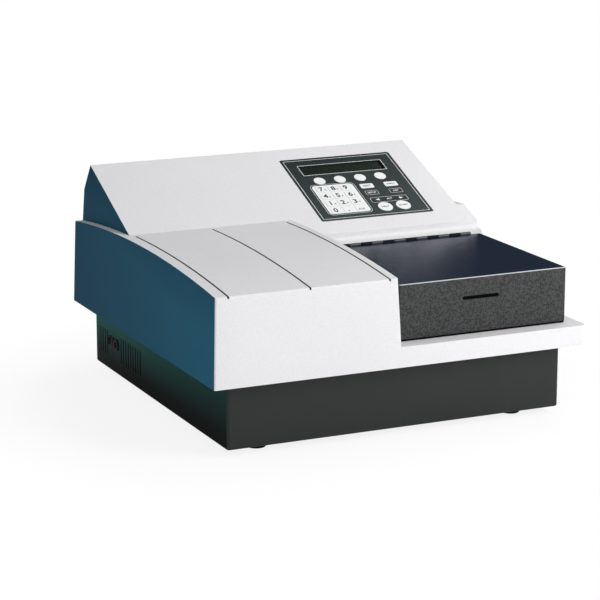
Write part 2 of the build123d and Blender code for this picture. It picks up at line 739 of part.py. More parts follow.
with BuildPart() as carrier_bushings:
    for centre_x in (LOAD_X - BUSHING_SPREAD, LOAD_X + BUSHING_SPREAD):
        with BuildSketch(Plane.YZ.offset(centre_x)):
            with Locations((ROD_Y, ROD_Z)):
                Circle(BUSHING_DIAMETER / 2)
                Circle(ROD_DIAMETER / 2 + RUN_FIT, mode=Mode.SUBTRACT)
        extrude(amount=BUSHING_LENGTH / 2, both=True)
write(carrier_bushings.part, "carrier_bushings")

with BuildPart() as carriage_motor:
    with BuildSketch(Plane.XY.offset(CHASSIS_BOTTOM - MOTOR_LENGTH)):
        with Locations((MOTOR_X, PULLEY_Y)):
            motor_outline = Rectangle(MOTOR_SIDE, MOTOR_SIDE)
        chamfer(motor_outline.vertices(), 4)
    extrude(amount=MOTOR_LENGTH)
    with BuildSketch(Plane.XY.offset(CHASSIS_BOTTOM)):
        with Locations((MOTOR_X, PULLEY_Y)):
            Circle(MOTOR_PILOT / 2)
    extrude(amount=CHASSIS_THICKNESS)
    with BuildSketch(Plane.XY.offset(CHASSIS_TOP)):
        with Locations((MOTOR_X, PULLEY_Y)):
            Circle(SHAFT_DIAMETER / 2 + RUN_FIT)
    extrude(amount=-MOTOR_LENGTH * 0.6, mode=Mode.SUBTRACT)
write(carriage_motor.part, "carriage_motor")


def pulley(centre_x, low_z, bore):
    """Flanged belt pulley on a vertical axis, bored, or solid with its shaft down to low_z."""
    flange = PULLEY_RADIUS + PULLEY_FLANGE
    z1 = BELT_Z - SEAT_FIT
    z2 = BELT_Z + BELT_WIDTH + SEAT_FIT
    section = Plane(origin=(centre_x, PULLEY_Y, 0), x_dir=(1, 0, 0), z_dir=(0, -1, 0))
    with BuildPart() as wheel:
        with BuildSketch(section):
            with BuildLine():
                Polyline(
                    (bore, z1 - FLANGE_THICKNESS),
                    (flange, z1 - FLANGE_THICKNESS),
                    (flange, z1),
                    (PULLEY_RADIUS, z1),
                    (PULLEY_RADIUS, z2),
                    (flange, z2),
                    (flange, z2 + FLANGE_THICKNESS),
                    (bore, z2 + FLANGE_THICKNESS),
                    close=True,
                )
            make_face()
        revolve(axis=Axis((centre_x, PULLEY_Y, 0), (0, 0, 1)))
        if low_z is not None:
            with BuildSketch(Plane.XY.offset(low_z)):
                with Locations((centre_x, PULLEY_Y)):
                    Circle(SHAFT_DIAMETER / 2)
            extrude(amount=z2 + 2 * FLANGE_THICKNESS - low_z)
    return wheel


drive_pulley = pulley(MOTOR_X, CHASSIS_TOP - MOTOR_LENGTH * 0.6 + 0.5, SHAFT_DIAMETER / 2)
write(drive_pulley.part, "drive_pulley")
idler_pulley = pulley(PULLEY_X, None, SHAFT_DIAMETER / 2 + RUN_FIT)
write(idler_pulley.part, "idler_pulley")

with BuildPart() as timing_belt:
    with BuildSketch(Plane.XY.offset(BELT_Z)):
        with Locations((0, PULLEY_Y)):
            SlotCenterToCenter(2 * PULLEY_X, 2 * BELT_OUTER)
            SlotCenterToCenter(2 * PULLEY_X, 2 * BELT_INNER, mode=Mode.SUBTRACT)
    extrude(amount=BELT_WIDTH)
write(timing_belt.part, "timing_belt")

# Detector board under the reading line, one diode for each row of wells
CHANNEL_POINTS = [
    (READ_X, PLATE_Y + (i - (CHANNELS - 1) / 2) * CHANNEL_PITCH) for i in range(CHANNELS)
]
with BuildPart() as detector_board:
    board_z = CHASSIS_TOP + STANDOFF
    reach_y = CHANNELS * CHANNEL_PITCH / 2 + 5
    bar((READ_X - 17, READ_X + 17), (PLATE_Y - reach_y, PLATE_Y + reach_y), (board_z, board_z + BOARD_THICKNESS))
    with BuildSketch(Plane.XY.offset(CHASSIS_TOP)):
        with Locations(*[(READ_X + i * 13, PLATE_Y + j * (reach_y - 4)) for i in (-1, 1) for j in (-1, 1)]):
            Circle(2.5)
    extrude(amount=STANDOFF)
    with BuildSketch(Plane.XY.offset(board_z + BOARD_THICKNESS)):
        with Locations(*CHANNEL_POINTS):
            Circle(DIODE_DIAMETER / 2)
    extrude(amount=DIODE_HEIGHT)
write(detector_board.part, "detector_board")

# Optics head: bridge over the plate path with eight lens bores and a fibre manifold
HEAD_Z = SEAT_Z + PLATE_HEIGHT + HEAD_CLEAR
MANIFOLD_REAR = PLATE_Y + CHANNELS * CHANNEL_PITCH / 2 + 1
BUNDLE_Z = HEAD_Z + HEAD_HEIGHT + MANIFOLD_HEIGHT
HEAD_FRONT = CHASSIS_FRONT + 1
HEAD_REAR = CHASSIS_REAR - 2
with BuildPart() as optics_head:
    bar((READ_X - HEAD_WIDTH / 2, READ_X + HEAD_WIDTH / 2), (HEAD_FRONT, HEAD_REAR), (HEAD_Z, HEAD_Z + HEAD_HEIGHT))
    for y0 in (HEAD_FRONT, HEAD_REAR - HEAD_LEG):
        bar((READ_X - HEAD_WIDTH / 2, READ_X + HEAD_WIDTH / 2), (y0, y0 + HEAD_LEG), (CHASSIS_TOP, HEAD_Z))
    bar(
        (READ_X - 8, READ_X + 8),
        (2 * PLATE_Y - MANIFOLD_REAR, MANIFOLD_REAR),
        (HEAD_Z + HEAD_HEIGHT, BUNDLE_Z + MANIFOLD_HEIGHT),
    )
    with BuildSketch(Plane.XY.offset(HEAD_Z)):
        with Locations(*CHANNEL_POINTS):
            Circle(LENS_DIAMETER / 2)
    extrude(amount=HEAD_HEIGHT - 2, mode=Mode.SUBTRACT)
    with BuildSketch(Plane.XZ.offset(-MANIFOLD_REAR)):
        with Locations((READ_X, BUNDLE_Z)):
            Circle(BUNDLE_DIAMETER / 2 + RUN_FIT)
    extrude(amount=5, mode=Mode.SUBTRACT)
write(optics_head.part, "optics_head")

# Lamp block with fins, floor plate and upright that carries the filter motor
BLOCK_RIGHT = WHEEL_X - WHEEL_THICKNESS / 2 - LAMP_GAP
BLOCK_LEFT = BLOCK_RIGHT - LAMP_BLOCK
with BuildPart() as lamp_holder:
    floor_z = CHASSIS_TOP + HOLDER_FLOOR
    bar(
        (BLOCK_LEFT - 2, UPRIGHT_X + HOLDER_WALL),
        (BEAM_Y - LAMP_BLOCK / 2 - 2, WHEEL_Y + WHEEL_RADIUS / 2 + 12),
        (CHASSIS_TOP, floor_z),
    )
    bar(
        (UPRIGHT_X, UPRIGHT_X + HOLDER_WALL),
        (BEAM_Y - LAMP_BLOCK / 2 + 4, WHEEL_Y + FILTER_MOTOR_SIDE / 2 + 3),
        (floor_z, BEAM_Z + FILTER_MOTOR_SIDE / 2 + 3),
    )
    bar(
        (BLOCK_LEFT, BLOCK_RIGHT),
        (BEAM_Y - LAMP_BLOCK / 2, BEAM_Y + LAMP_BLOCK / 2),
        (floor_z, BEAM_Z + LAMP_BLOCK / 2),
    )
    fin_pitch = (LAMP_BLOCK - 4) / FIN_COUNT
    for i in range(FIN_COUNT):
        fin_z = BEAM_Z - LAMP_BLOCK / 2 + 4 + i * fin_pitch
        bar(
            (BLOCK_LEFT - 1, BLOCK_RIGHT + 1),
            (BEAM_Y - LAMP_BLOCK / 2 - 1, BEAM_Y - LAMP_BLOCK / 2 + FIN_DEPTH),
            (fin_z, fin_z + fin_pitch / 2),
            Mode.SUBTRACT,
        )
    with BuildSketch(Plane.YZ.offset(BLOCK_LEFT)):
        with Locations((BEAM_Y, BEAM_Z)):
            Circle(LAMP_BASE / 2 + RUN_FIT)
    extrude(amount=LAMP_BLOCK, mode=Mode.SUBTRACT)
    with BuildSketch(Plane.YZ.offset(UPRIGHT_X)):
        with Locations((BEAM_Y, BEAM_Z)):
            Circle(BUNDLE_DIAMETER / 2 + RUN_FIT)
        with Locations((WHEEL_Y, BEAM_Z)):
            Circle(SHAFT_DIAMETER)
    extrude(amount=HOLDER_WALL, mode=Mode.SUBTRACT)
write(lamp_holder.part, "lamp_holder")

with BuildPart() as halogen_lamp:
    lamp_axis = Plane(origin=(BLOCK_LEFT - 4, BEAM_Y, BEAM_Z), x_dir=(1, 0, 0), z_dir=(0, -1, 0))
    with BuildSketch(lamp_axis):
        with BuildLine():
            Polyline((0, 0), (0, LAMP_BASE / 2), (14, LAMP_BASE / 2), (14, LAMP_DIAMETER / 2 - 1), (26, LAMP_DIAMETER / 2 - 1))
            ThreePointArc(
                (26, LAMP_DIAMETER / 2 - 1),
                (26 + (LAMP_DIAMETER / 2 - 1) * math.cos(math.pi / 4), (LAMP_DIAMETER / 2 - 1) * math.sin(math.pi / 4)),
                (25 + LAMP_DIAMETER / 2, 0),
            )
            Line((25 + LAMP_DIAMETER / 2, 0), (0, 0))
        make_face()
    revolve(axis=Axis((BLOCK_LEFT - 4, BEAM_Y, BEAM_Z), (1, 0, 0)))
write(halogen_lamp.part, "halogen_lamp")

FILTER_POINTS = [
    (
        WHEEL_Y + FILTER_CIRCLE * math.cos(math.pi + 2 * math.pi * i / FILTER_COUNT),
        BEAM_Z + FILTER_CIRCLE * math.sin(math.pi + 2 * math.pi * i / FILTER_COUNT),
    )
    for i in range(FILTER_COUNT)
]
WHEEL_FACE = WHEEL_X - WHEEL_THICKNESS / 2
with BuildPart() as filter_wheel:
    with BuildSketch(Plane.YZ.offset(WHEEL_FACE)):
        with Locations((WHEEL_Y, BEAM_Z)):
            Circle(WHEEL_RADIUS)
    extrude(amount=WHEEL_THICKNESS)
    with BuildSketch(Plane.YZ.offset(WHEEL_FACE - 3)):
        with Locations((WHEEL_Y, BEAM_Z)):
            Circle(2 * SHAFT_DIAMETER)
    extrude(amount=WHEEL_THICKNESS + 4)
    with BuildSketch(Plane.YZ.offset(WHEEL_FACE)):
        with Locations((WHEEL_Y, BEAM_Z)):
            Circle(SHAFT_DIAMETER / 2)
    extrude(amount=UPRIGHT_X + HOLDER_WALL + FILTER_MOTOR_LENGTH / 2 - WHEEL_FACE)
    with BuildSketch(Plane.YZ.offset(WHEEL_FACE)):
        with Locations(*FILTER_POINTS):
            Circle(FILTER_DIAMETER / 2 - FILTER_LIP)
    extrude(amount=WHEEL_THICKNESS, mode=Mode.SUBTRACT)
    with BuildSketch(Plane.YZ.offset(WHEEL_FACE)):
        with Locations(*FILTER_POINTS):
            Circle(FILTER_DIAMETER / 2 + RUN_FIT)
    extrude(amount=FILTER_THICKNESS + 0.5, mode=Mode.SUBTRACT)
write(filter_wheel.part, "filter_wheel")

with BuildPart() as optical_filters:
    with BuildSketch(Plane.YZ.offset(WHEEL_FACE + 0.5)):
        with Locations(*FILTER_POINTS):
            Circle(FILTER_DIAMETER / 2)
    extrude(amount=FILTER_THICKNESS)
write(optical_filters.part, "optical_filters")

with BuildPart() as filter_motor:
    with BuildSketch(Plane.YZ.offset(UPRIGHT_X + HOLDER_WALL)):
        with Locations((WHEEL_Y, BEAM_Z)):
            filter_outline = Rectangle(FILTER_MOTOR_SIDE, FILTER_MOTOR_SIDE)
        chamfer(filter_outline.vertices(), 3)
    extrude(amount=FILTER_MOTOR_LENGTH)
    with BuildSketch(Plane.YZ.offset(UPRIGHT_X + HOLDER_WALL)):
        with Locations((WHEEL_Y, BEAM_Z)):
            Circle(SHAFT_DIAMETER / 2 + RUN_FIT)
    extrude(amount=FILTER_MOTOR_LENGTH / 2 + 1, mode=Mode.SUBTRACT)
write(filter_motor.part, "filter_motor")

with BuildPart() as fibre_bundle:
    with BuildLine():
        FilletPolyline(
            (UPRIGHT_X, BEAM_Y, BEAM_Z),
            (UPRIGHT_X + 35, BEAM_Y, BEAM_Z),
            (UPRIGHT_X + 35, BEAM_Y - 36, BUNDLE_Z),
            (READ_X, MANIFOLD_REAR + 23, BUNDLE_Z),
            (READ_X, MANIFOLD_REAR - 4.5, BUNDLE_Z),
            radius=12,
        )
    with BuildSketch(Plane.YZ.offset(UPRIGHT_X)):
        with Locations((BEAM_Y, BEAM_Z)):
            Circle(BUNDLE_DIAMETER / 2)
    sweep()
write(fibre_bundle.part, "fibre_bundle")

# Main board on its bosses, with the taller components
with BuildPart() as main_board:
    board_low = FLOOR_Z + MAIN_BOARD_RISE
    board_top = board_low + BOARD_THICKNESS
    bar(
        (MAIN_BOARD_X - MAIN_BOARD_LENGTH / 2, MAIN_BOARD_X + MAIN_BOARD_LENGTH / 2),
        (MAIN_BOARD_Y - MAIN_BOARD_WIDTH / 2, MAIN_BOARD_Y + MAIN_BOARD_WIDTH / 2),
        (board_low, board_top),
    )
    for dx, dy, w, d, h in (
        (-50, -30, 28, 28, 4),
        (-10, -30, 20, 34, 4),
        (30, -35, 36, 14, 5),
        (30, -10, 36, 14, 5),
        (-50, 20, 30, 20, 16),
        (55, 30, 16, 40, 22),
        (0, 30, 24, 24, 12),
    ):
        x, y = MAIN_BOARD_X + dx, MAIN_BOARD_Y + dy
        bar((x - w / 2, x + w / 2), (y - d / 2, y + d / 2), (board_top, board_top + h))
write(main_board.part, "main_board")

with BuildPart() as data_ports:
    for port_x, port_w in ((SERIAL_X, SERIAL_WIDTH), (PARALLEL_X, PARALLEL_WIDTH)):
        bar(
            (port_x - port_w / 2 - 3, port_x + port_w / 2 + 3),
            (MAIN_BOARD_Y + MAIN_BOARD_WIDTH / 2 - 8, BASE_REAR - BASE_WALL),
            (board_top, PORT_Z + PORT_HEIGHT / 2 + 2),
        )
        with BuildSketch(Plane.XZ.offset(-BASE_REAR + BASE_WALL)):
            with Locations((port_x, PORT_Z)):
                Trapezoid(port_w - 8, PORT_HEIGHT - 3, 100, rotation=180)
        extrude(amount=-BASE_WALL - PORT_DEPTH)
        with BuildSketch(Plane.XZ.offset(-BASE_REAR - PORT_DEPTH)):
            with Locations((port_x, PORT_Z)):
                Trapezoid(port_w - 10, PORT_HEIGHT - 5, 100, rotation=180)
        extrude(amount=PORT_DEPTH, mode=Mode.SUBTRACT)
write(data_ports.part, "data_ports")

# Fan behind the rear grille
FAN_FRONT = BASE_REAR - BASE_WALL - FAN_DEPTH
with BuildPart() as fan_frame:
    with BuildSketch(Plane.XZ.offset(-FAN_FRONT)):
        with Locations((FAN_X, FAN_Z)):
            RectangleRounded(FAN_SIZE, FAN_SIZE, 3)
            Circle(FAN_BORE / 2, mode=Mode.SUBTRACT)
    extrude(amount=-FAN_DEPTH)
    with BuildSketch(Plane.XZ.offset(-FAN_FRONT - FAN_DEPTH)):
        with Locations((FAN_X, FAN_Z)):
            Circle(FAN_HUB / 2)
            Rectangle(FAN_BORE + 2, 3)
            Rectangle(3, FAN_BORE + 2)
    extrude(amount=2)
    with BuildSketch(Plane.XZ.offset(-FAN_FRONT - FAN_DEPTH + 2)):
        with Locations((FAN_X, FAN_Z)):
            Circle(1.5)
    extrude(amount=FAN_DEPTH - 5)
write(fan_frame.part, "fan_frame")

with BuildPart() as fan_rotor:
    with BuildSketch(Plane.XZ.offset(-FAN_FRONT - 1)):
        with Locations((FAN_X, FAN_Z)):
            Circle(FAN_HUB / 2)
    extrude(amount=-(FAN_DEPTH - 1 - 2 - 0.5))
    with BuildSketch(Plane.XZ.offset(-FAN_FRONT - FAN_DEPTH + 2.5)):
        with Locations((FAN_X, FAN_Z)):
            Circle(1.5 + RUN_FIT)
    extrude(amount=FAN_DEPTH - 5, mode=Mode.SUBTRACT)
    for i in range(FAN_BLADES):
        blade = Plane(
            origin=(FAN_X, FAN_FRONT + FAN_DEPTH / 2 - 0.5, FAN_Z),
            x_dir=(0, 1, 0),
            z_dir=(math.cos(2 * math.pi * i / FAN_BLADES), 0, math.sin(2 * math.pi * i / FAN_BLADES)),
        )
        with BuildSketch(blade.offset(FAN_HUB / 2 - 1)):
            Rectangle(11, 1.2, rotation=35)
        extrude(amount=(FAN_BORE - FAN_HUB) / 2)
write(fan_rotor.part, "fan_rotor")

# Power switch: bezel and body in the side wall, rocker on two small pins
OUT_X = -BASE_HALF
with BuildPart() as switch_body:
    with BuildSketch(Plane.YZ.offset(OUT_X)):
        with Locations((SWITCH_Y, SWITCH_Z)):
            RectangleRounded(SWITCH_LENGTH, SWITCH_HEIGHT, 1)
    extrude(amount=-SWITCH_RIM)
    with BuildSketch(Plane.YZ.offset(OUT_X)):
        with Locations((SWITCH_Y, SWITCH_Z)):
            Rectangle(SWITCH_LENGTH - 2 * SWITCH_RIM, SWITCH_HEIGHT - 2 * SWITCH_RIM)
    extrude(amount=SWITCH_BODY_DEPTH)
    with BuildSketch(Plane.YZ.offset(OUT_X - SWITCH_RIM)):
        with Locations((SWITCH_Y, SWITCH_Z)):
            Rectangle(SWITCH_LENGTH - 2 * SWITCH_RIM - 1.2, SWITCH_HEIGHT - 2 * SWITCH_RIM - 1.2)
    extrude(amount=SWITCH_RIM + 7, mode=Mode.SUBTRACT)
    with BuildSketch(Plane.XY.offset(SWITCH_Z)):
        with Locations((OUT_X, SWITCH_Y)):
            Circle(0.8)
    extrude(amount=SWITCH_HEIGHT / 2 - SWITCH_RIM - 0.1, both=True, mode=Mode.SUBTRACT)
write(switch_body.part, "switch_body")

with BuildPart() as switch_rocker:
    rocker_half = SWITCH_LENGTH / 2 - SWITCH_RIM - 0.6 - SEAT_FIT
    rocker_plane = Plane(
        origin=(OUT_X, SWITCH_Y, SWITCH_Z),
        x_dir=(-math.sin(math.radians(ROCKER_ANGLE)), math.cos(math.radians(ROCKER_ANGLE)), 0),
        z_dir=(0, 0, 1),
    )
    with BuildSketch(rocker_plane):
        with BuildLine():
            Polyline(
                (-rocker_half + 0.3, 2.1),
                (0, 1.1),
                (rocker_half - 0.3, 2.1),
                (rocker_half - 0.3, -0.6),
                (rocker_half / 2, -4),
                (-rocker_half / 2, -4),
                (-rocker_half + 0.3, -0.6),
                close=True,
            )
        make_face()
    extrude(amount=SWITCH_HEIGHT / 2 - SWITCH_RIM - 0.6 - 0.2, both=True)
    with BuildSketch(rocker_plane):
        Circle(0.6)
    extrude(amount=SWITCH_HEIGHT / 2 - SWITCH_RIM - 0.2, both=True)
write(switch_rocker.part, "switch_rocker")

with BuildPart() as dc_inlet:
    inlet_axis = Plane.YZ.offset(OUT_X)
    with BuildSketch(inlet_axis):
        with Locations((INLET_Y, INLET_Z)):
            Circle(INLET_DIAMETER / 2)
    extrude(amount=-1.2)
    with BuildSketch(inlet_axis):
        with Locations((INLET_Y, INLET_Z)):
            Circle(INLET_DIAMETER / 2 - SWITCH_RIM)
    extrude(amount=INLET_DEPTH)
    with BuildSketch(inlet_axis.offset(-1.2)):
        with Locations((INLET_Y, INLET_Z)):
            Circle(INLET_BORE / 2)
            Circle(INLET_PIN / 2, mode=Mode.SUBTRACT)
    extrude(amount=10, mode=Mode.SUBTRACT)
write(dc_inlet.part, "dc_inlet")

# Lid: deep cover, open below, with a shallow finger slot in its front
with BuildPart() as lid:
    bar((LID_LEFT, LID_RIGHT), (LID_FRONT, LID_REAR), (LID_BOTTOM, LID_TOP))
    round_off = lid.edges().filter_by(Axis.Z) + lid.faces().sort_by(Axis.Z)[-1].edges().filter_by(
        lambda e: (e @ 0.5).Y < LID_REAR - 1
    )
    fillet(round_off, LID_ROUND)
    bar(
        (LID_LEFT + LID_WALL, LID_RIGHT - LID_WALL),
        (LID_FRONT + LID_WALL, LID_REAR - LID_WALL),
        (LID_BOTTOM, LID_TOP - LID_WALL),
        Mode.SUBTRACT,
    )
    with BuildSketch(Plane.XZ.offset(-LID_FRONT)):
        with Locations((GRIP_X, SEAM_Z + GRIP_RISE)):
            SlotOverall(GRIP_LENGTH, GRIP_HEIGHT)
    extrude(amount=-GRIP_DEPTH, mode=Mode.SUBTRACT)
    # Way through the left wall for the plate carrier
    bar((LID_LEFT - 1, LID_LEFT + LID_WALL + 1), (PATH_FRONT, PATH_REAR), (LID_BOTTOM - 1, PATH_TOP), Mode.SUBTRACT)
write(lid.part, "lid")


def hinge_leaf(first, side):
    """One half of the piano hinge: every second knuckle, with a leaf that hangs against the wall on its side."""
    wall_y = side * BAY_REAR_Y
    near_y = wall_y - side * LEAF_THICKNESS
    leaf_y = (min(wall_y, near_y), max(wall_y, near_y))
    leaf_top = HINGE_Z - KNUCKLE_DIAMETER / 2 - HINGE_CLEAR
    length = KNUCKLE_COUNT * KNUCKLE_PITCH
    with BuildPart() as leaf:
        bar((HINGE_START_X, HINGE_START_X + length), leaf_y, (HINGE_Z - LEAF_LENGTH, leaf_top))
        for i in range(first, KNUCKLE_COUNT, 2):
            with BuildSketch(Plane.YZ.offset(HINGE_START_X + i * KNUCKLE_PITCH + KNUCKLE_GAP / 2)):
                with Locations((0, HINGE_Z)):
                    Circle(KNUCKLE_DIAMETER / 2)
                with Locations((sum(leaf_y) / 2, (leaf_top - 1 + HINGE_Z) / 2)):
                    Rectangle(LEAF_THICKNESS, HINGE_Z - leaf_top + 1)
                with Locations((0, HINGE_Z)):
                    Circle(PIN_DIAMETER / 2 + RUN_FIT, mode=Mode.SUBTRACT)
            extrude(amount=KNUCKLE_PITCH - KNUCKLE_GAP)
    return leaf


hinge_fixed_leaf = hinge_leaf(0, 1)
write(hinge_fixed_leaf.part, "hinge_fixed_leaf")
hinge_moving_leaf = hinge_leaf(1, -1)
write(hinge_moving_leaf.part, "hinge_moving_leaf")

with BuildPart() as hinge_pin:
    with BuildSketch(Plane.YZ.offset(HINGE_START_X)):
        with Locations((0, HINGE_Z)):
            Circle(PIN_DIAMETER / 2)
    extrude(amount=KNUCKLE_COUNT * KNUCKLE_PITCH)
write(hinge_pin.part, "hinge_pin")

# Keys: name, place on the slope, width, length; a length of zero makes a round key
KEYS = [(f"soft_key_{i + 1}", SOFT_X + i * SOFT_PITCH, SOFT_S, SOFT_DIAMETER, 0) for i in range(4)]
for row, names in enumerate((("0", "point", "symbol"), ("1", "2", "3"), ("4", "5", "6"), ("7", "8", "9"))):
    for column, name in enumerate(names):
        place = (NUMBER_X + column * NUMBER_PITCH_X, NUMBER_S + row * NUMBER_PITCH_S)
        KEYS.append((f"number_key_{name}", *place, NUMBER_WIDTH, NUMBER_LENGTH))
for row, names in enumerate((("clear_key", "enter_key"), ("options_key", "menu_key"))):
    for column, name in enumerate(names):
        place = (SIDE_KEY_X + column * SIDE_KEY_PITCH, SIDE_KEY_S - row * SIDE_KEY_DROP)
        KEYS.append((name, *place, SIDE_KEY_WIDTH, SIDE_KEY_LENGTH))
for column, name in enumerate(("left_key", "shift_key", "right_key")):
    KEYS.append((name, ARROW_X + column * ARROW_PITCH, ARROW_S, ARROW_WIDTH, ARROW_LENGTH))
for name, key_x in zip(("stop_key", "read_key"), ROUND_X):
    KEYS.append((name, key_x, ROUND_S, ROUND_DIAMETER, 0))


def key_outline(key, grow):
    """Outline of a key, or of its hole when grow is the fit."""
    _, x, s, width, length = key
    with Locations((x, s)):
        if length:
            RectangleRounded(width + 2 * grow, length + 2 * grow, KEY_CORNER + grow)
        else:
            Circle(width / 2 + grow)


# Keypad panel: thin overlay in the slope, thicker body through the opening, one hole per key
with BuildPart() as keypad_panel:
    with BuildSketch(SLOPE_PLANE):
        with Locations((PANEL_X, PANEL_S)):
            RectangleRounded(PANEL_WIDTH, PANEL_LENGTH, PANEL_ROUND)
    extrude(amount=-OVERLAY)
    with BuildSketch(SLOPE_PLANE.offset(-OVERLAY)):
        with Locations((PANEL_X, PANEL_S)):
            Rectangle(
                PANEL_WIDTH - 2 * PANEL_RIM - 2 * SEAT_FIT,
                PANEL_LENGTH - 2 * PANEL_RIM - 2 * SEAT_FIT,
            )
    extrude(amount=-PANEL_BODY)
    with BuildSketch(SLOPE_PLANE):
        for key in KEYS:
            key_outline(key, KEY_FIT)
        with Locations((WINDOW_X, WINDOW_S)):
            Rectangle(WINDOW_WIDTH + 2 * KEY_FIT, WINDOW_LENGTH + 2 * KEY_FIT)
    extrude(amount=-PANEL_DEPTH, mode=Mode.SUBTRACT)
write(keypad_panel.part, "keypad_panel")

for key in KEYS:
    with BuildPart() as cap:
        with BuildSketch(SLOPE_PLANE.offset(KEY_PROUD)):
            key_outline(key, 0)
        extrude(amount=-(KEY_PROUD + PANEL_DEPTH - KEY_TRAVEL - KEY_REST))
    write(cap.part, key[0])

with BuildPart() as display_window:
    with BuildSketch(SLOPE_PLANE.offset(-WINDOW_SUNK)):
        with Locations((WINDOW_X, WINDOW_S)):
            Rectangle(WINDOW_WIDTH, WINDOW_LENGTH)
    extrude(amount=-WINDOW_THICKNESS)
write(display_window.part, "display_window")

# Display board under the panel, with the display module reaching up to its window
with BuildPart() as lcd_module:
    with BuildSketch(SLOPE_PLANE.offset(-PANEL_DEPTH)):
        with Locations((PANEL_X, PANEL_S)):
            Rectangle(PANEL_WIDTH - 2 * PANEL_RIM - 2, PANEL_LENGTH - 2 * PANEL_RIM - 2)
    extrude(amount=-BOARD_THICKNESS)
    with BuildSketch(SLOPE_PLANE.offset(-PANEL_DEPTH)):
        with Locations((WINDOW_X, WINDOW_S)):
            Rectangle(WINDOW_WIDTH - 1, WINDOW_LENGTH - 1)
    extrude(amount=PANEL_DEPTH - WINDOW_SUNK - WINDOW_THICKNESS)
write(lcd_module.part, "lcd_module")
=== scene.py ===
"""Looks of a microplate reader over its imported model: case, lid, hinge, printed keypad and inside."""

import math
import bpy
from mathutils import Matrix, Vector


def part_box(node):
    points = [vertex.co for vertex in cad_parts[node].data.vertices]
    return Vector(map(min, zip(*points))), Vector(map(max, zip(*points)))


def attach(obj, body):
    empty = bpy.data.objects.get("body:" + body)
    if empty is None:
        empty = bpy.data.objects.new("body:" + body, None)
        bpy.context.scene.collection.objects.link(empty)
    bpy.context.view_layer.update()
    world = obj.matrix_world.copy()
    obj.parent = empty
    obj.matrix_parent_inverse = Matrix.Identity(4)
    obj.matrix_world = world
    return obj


bl_info = {
    "name": "Microplate reader",
    "version": (1, 0, 0),
    "blender": (4, 5, 0),
    "location": "View3D > Sidebar > Reader",
    "description": "Builds the finishes and the printed detail of a microplate reader",
    "category": "Object",
}

import bmesh
import bpy
import numpy as np

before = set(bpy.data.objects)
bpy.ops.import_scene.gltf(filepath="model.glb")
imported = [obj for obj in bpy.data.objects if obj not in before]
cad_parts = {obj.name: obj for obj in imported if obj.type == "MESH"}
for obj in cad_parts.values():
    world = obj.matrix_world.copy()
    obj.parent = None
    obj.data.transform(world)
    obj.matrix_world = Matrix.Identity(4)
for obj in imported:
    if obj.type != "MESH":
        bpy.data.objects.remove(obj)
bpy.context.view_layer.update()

MM = 0.001

# The console's front: its angle, and a point of the line at its foot, millimetres
SLOPE = math.radians(22.7)
FOOT_LINE = (0.0, 55.6, 167.06)

# Height of a key's face over the panel's, millimetres
KEY_RISE = 0.3

# Printed outlines on the panel, millimetres: x and s of the middle, width, height, corner radius, and the
# share of the line's full width
PANEL_OUTLINES = (
    (88.9, 50.9, 123.0, 110.8, 0.6, 1.0),
    (88.8, 86.9, 98.2, 18.8, 0.4, 1.0),
    (62.5, 30.0, 50.8, 56.8, 5.6, 0.8),
    (115.1, 22.0, 42.4, 8.8, 2.0, 0.7),
)

# Outline of a dark key: width, height and corner radius, millimetres, and share of the line's full width
KEY_OUTLINE = (14.4, 7.4, 1.2)
KEY_OUTLINE_SHARE = 0.7

# Figure and small letter from the middle of their key, and the left arrow, millimetres
FIGURE_SHIFT = -1.0
SMALL_SHIFT = (3.6, -1.4)
ARROW = ((2.2, 1.9), (-2.4, 0.0), (2.2, -1.9))

# White field behind the number keys: its middle, its half sizes without the corners, and their radius, metres
FIELD_MIDDLE = (0.0625, 0.03)
FIELD_HALF = (0.0197, 0.0227)
FIELD_CORNER = 0.004

# The built-in letters are drawn this much larger than the height asked for, and this much bolder
LETTER_SCALE = 1.38
LETTER_WEIGHT = 0.03

# Crown of the hump: an arc over the whole depth of the case, millimetres
HALF_DEPTH = 191.0
CROWN_EDGE = 156.9
CROWN_RISE = 11.1

# Dark strips in the channels, painted shade for the shadow in the grooves, millimetres: their middles, their
# ends, and a section that reaches from the channel's floor to just under the crown
CHANNEL_X = (-180.7, -98.5, -16.6)
CHANNEL_Y = (-185.6, 47.2)
STRIP_HALF_WIDTH = 0.98
STRIP_LOW, STRIP_HIGH = -1.95, -0.15
STRIP_STEPS = 60

# Black seal under the lid's front and right walls, millimetres. Its black is partly painted shade, standing
# in for the shadow in the gap under the lid
SEAL_X = (1.0, 181.3)
SEAL_Y = (-172.4, -2.6)
SEAL_Z = (91.95, 93.8)
SEAL_WIDTH = 1.8

# Dark inlay on the floor of the lid's finger slot, millimetres: painted shade for the shadow in the recess
GRIP_X, GRIP_Z = 87.8, 127.6
GRIP_Y = (-172.2, -171.52)
GRIP_WIDTH, GRIP_HEIGHT, GRIP_CORNER = 38.9, 2.9, 1.44

# Camera fitted to the edges of the case: its place in metres, angles in degrees, lens in millimetres
CAMERA_PLACE = (-0.98589, -2.08789, 0.66086)
CAMERA_DOWN, CAMERA_TURN = 13.783, 24.75
LENS, SENSOR = 141.0, 36.0

# Area lamps: name, place and size in metres, power in watts. All point at the middle of the case
LAMPS = (
    ("key_lamp", (0.95, -1.2, 0.9), 0.9, 21.0),
    ("fill_lamp", (-1.9, -0.9, 1.1), 1.4, 3.5),
    ("top_lamp", (0.9, 0.3, 1.5), 1.0, 7.0),
)
LAMP_TARGET = (0, 0, 0.1)
FLOOR_HALF = 6.0


def linear(code):
    """sRGB hex to linear RGBA: c/12.92 below 0.04045, else ((c + 0.055)/1.055)^2.4."""
    parts = [int(code[i : i + 2], 16) / 255 for i in (1, 3, 5)]
    return tuple(c / 12.92 if c <= 0.04045 else ((c + 0.055) / 1.055) ** 2.4 for c in parts) + (1.0,)


